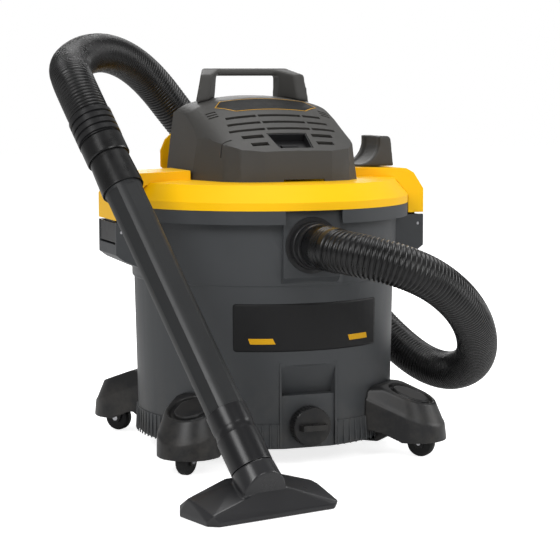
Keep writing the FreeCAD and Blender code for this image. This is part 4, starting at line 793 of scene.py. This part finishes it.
def makePanel(c):
    bars = []
    for lowLeft, lowRight, highRight, highLeft in c["bars"]:
        bars.append([(lowLeft, c["barLow"]), (lowRight, c["barLow"]), (highRight, c["barHigh"]),
                     (highLeft, c["barHigh"])])
    film = printedPlate("panel_film", (24, 24, 25), (214, 160, 14), bars)

    def probe(along, up):
        angle = along / c["wall"]
        out = Vector((math.sin(angle), -math.cos(angle), 0))
        return out * 0.3 + Vector((0, 0, up)), -out

    outline = roundedRectangle(c["left"], c["low"], c["right"], c["high"], c["corner"],
                               c["cornerSteps"])
    filmPiece("front_panel", outline, 0.004, probe, surfaceOf("drum"), 0.0005, film, "drum", "drum_grey")


badgeSizes = {
    "slope": 25.3,            # lean of the cover's top, degrees
    "foot": (-0.160, 0.474),  # where the slope starts, front and height
    "low": 0.142, "tip": 0.166, "high": 0.188,
    "lowHalf": 0.058, "tipHalf": 0.085, "highHalf": 0.071, "aside": 0.003,
    "line": 0.0015,
}


def makeBadge(c):
    halves = [(c["lowHalf"], c["low"]), (c["tipHalf"], c["tip"]), (c["highHalf"], c["high"])]
    outline = [(c["aside"] + half, up) for half, up in halves]
    outline += [(c["aside"] - half, up) for half, up in reversed(halves)]
    film = printedPlate("badge_film", (18, 18, 17), (196, 148, 44), [outline], c["line"])
    lean = math.radians(c["slope"])
    out = Vector((0, -math.sin(lean), math.cos(lean)))

    def probe(across, along):
        base = Vector((across, c["foot"][0] + along * math.cos(lean), c["foot"][1] + along * math.sin(lean)))
        return base + out * 0.05, -out

    filmPiece("cover_badge", outline, 0.003, probe, surfaceOf("motor_cover"), 0.0004, film, "power_head",
              "cover_grey")


bandSizes = {
    "count": 106,
    "radius": 0.2040,
    "lean": -0.045,           # inwards at the top, with the band's wall
    "width": 0.0030,
    "proud": 0.0010,
    "low": 0.0295,
    "high": 0.0660,
    "gapHalf": 0.0475,
}


def bandTree():
    tree = Tree("band_ribs", {"Count": "Int", "Radius": "Float", "Width": "Float", "Proud": "Float",
                              "Low": "Float", "High": "Float", "Gap": "Float", "Lean": "Float"})

    maths = tree.maths
    tall = maths("SUBTRACT", tree.given("High"), tree.given("Low"))
    middle = maths("MULTIPLY", maths("ADD", tree.given("High"), tree.given("Low")), 0.5)
    bar = tree.add("GeometryNodeMeshCylinder", {"fill_type": "NGON"}, {
        "Vertices": 8, "Radius": 1.0, "Depth": tall})
    halfWidth = maths("MULTIPLY", tree.given("Width"), 0.5)
    size = tree.add("ShaderNodeCombineXYZ", {}, {"X": tree.given("Proud"), "Y": halfWidth, "Z": 1.0})
    shaped = tree.add("GeometryNodeTransform", {}, {"Geometry": bar.outputs["Mesh"],
                                                    "Scale": size.outputs[0]})
    spots = tree.add("GeometryNodePoints", {}, {"Count": tree.given("Count")})
    index = tree.add("GeometryNodeInputIndex").outputs[0]
    angle = maths("MULTIPLY", maths("DIVIDE", maths("ADD", index, 0.5), tree.given("Count")), math.tau)
    across = maths("MULTIPLY", maths("COSINE", angle), tree.given("Radius"))
    deep = maths("MULTIPLY", maths("SINE", angle), tree.given("Radius"))
    place = tree.add("ShaderNodeCombineXYZ", {}, {"X": across, "Y": deep, "Z": middle})
    put = tree.add("GeometryNodeSetPosition", {}, {"Geometry": spots.outputs[0],
                                                   "Position": place.outputs[0]})
    inGap = maths("MULTIPLY", maths("LESS_THAN", maths("ABSOLUTE", across), tree.given("Gap")),
                  maths("LESS_THAN", deep, 0.0))
    kept = tree.add("GeometryNodeDeleteGeometry", {"domain": "POINT"}, {"Geometry": put.outputs[0],
                                                                        "Selection": inGap})
    where = tree.add("GeometryNodeInputPosition").outputs[0]
    split = tree.add("ShaderNodeSeparateXYZ", {}, {"Vector": where})
    around = maths("ARCTAN2", split.outputs["Y"], split.outputs["X"])
    turn = tree.add("ShaderNodeCombineXYZ", {}, {"Y": tree.given("Lean"), "Z": around})
    copies = tree.add("GeometryNodeInstanceOnPoints", {}, {
        "Points": kept.outputs[0], "Instance": shaped.outputs[0], "Rotation": turn.outputs[0]})
    tree.finish(copies.outputs[0], drumGrey)
    return tree


def makeBand(c):
    mesh = bpy.data.meshes.new("band_holder")
    holder = linked("band_holder", mesh)
    ribs = bandTree().apply(holder, "band_ribs", {
        "Count": c["count"], "Radius": c["radius"], "Width": c["width"], "Proud": c["proud"], "Low": c["low"],
        "High": c["high"], "Gap": c["gapHalf"], "Lean": c["lean"]})
    fixed(ribs, "drum", "drum_grey")
    print("band ribs:", len(ribs.data.polygons), "faces")


makePanel(panelSizes)
makeBadge(badgeSizes)
makeBand(bandSizes)


# floor and world

floorSizes = {"matt": 0.86, "glow": 0.8, "reach": 12}


def makeFloor(c):
    # a pale floor that the camera sees as near white
    f = Finish("floor_white")
    ray = f.add("ShaderNodeLightPath").out("Is Camera Ray")
    matt = f.add("ShaderNodeBsdfDiffuse", {}, {"Color": (c["matt"], c["matt"], c["matt"], 1)})
    glow = f.add("ShaderNodeEmission", {}, {"Color": (1, 1, 1, 1), "Strength": ray * c["glow"]})
    both = f.add("ShaderNodeAddShader", {}, {0: matt, 1: glow})
    f.add("ShaderNodeOutputMaterial", {}, {"Surface": both})
    reach = c["reach"]
    work = bmesh.new()
    for point in ((-reach, -reach, 0), (reach, -reach, 0), (reach, reach, 0), (-reach, reach, 0)):
        work.verts.new(point)
    work.faces.new(work.verts)
    mesh = bpy.data.meshes.new("floor")
    work.to_mesh(mesh)
    work.free()
    linked("floor", mesh, f.material)


worldSizes = {"light": 0.36, "seen": 1.0}


def makeWorld(c):
    # white to the camera, a softer light on the object
    world = bpy.data.worlds.new("studio")
    world.use_nodes = True
    bpy.context.scene.world = world
    tree = world.node_tree
    tree.nodes.clear()
    path = tree.nodes.new("ShaderNodeLightPath")
    strength = tree.nodes.new("ShaderNodeMapRange")
    strength.inputs["To Min"].default_value = c["light"]
    strength.inputs["To Max"].default_value = c["seen"]
    tree.links.new(path.outputs["Is Camera Ray"], strength.inputs["Value"])
    back = tree.nodes.new("ShaderNodeBackground")
    back.inputs["Color"].default_value = (1, 1, 1, 1)
    tree.links.new(strength.outputs[0], back.inputs["Strength"])
    out = tree.nodes.new("ShaderNodeOutputWorld")
    tree.links.new(back.outputs[0], out.inputs["Surface"])


makeFloor(floorSizes)
makeWorld(worldSizes)
bpy.context.scene.view_settings.view_transform = "Standard"

print("scene complete")
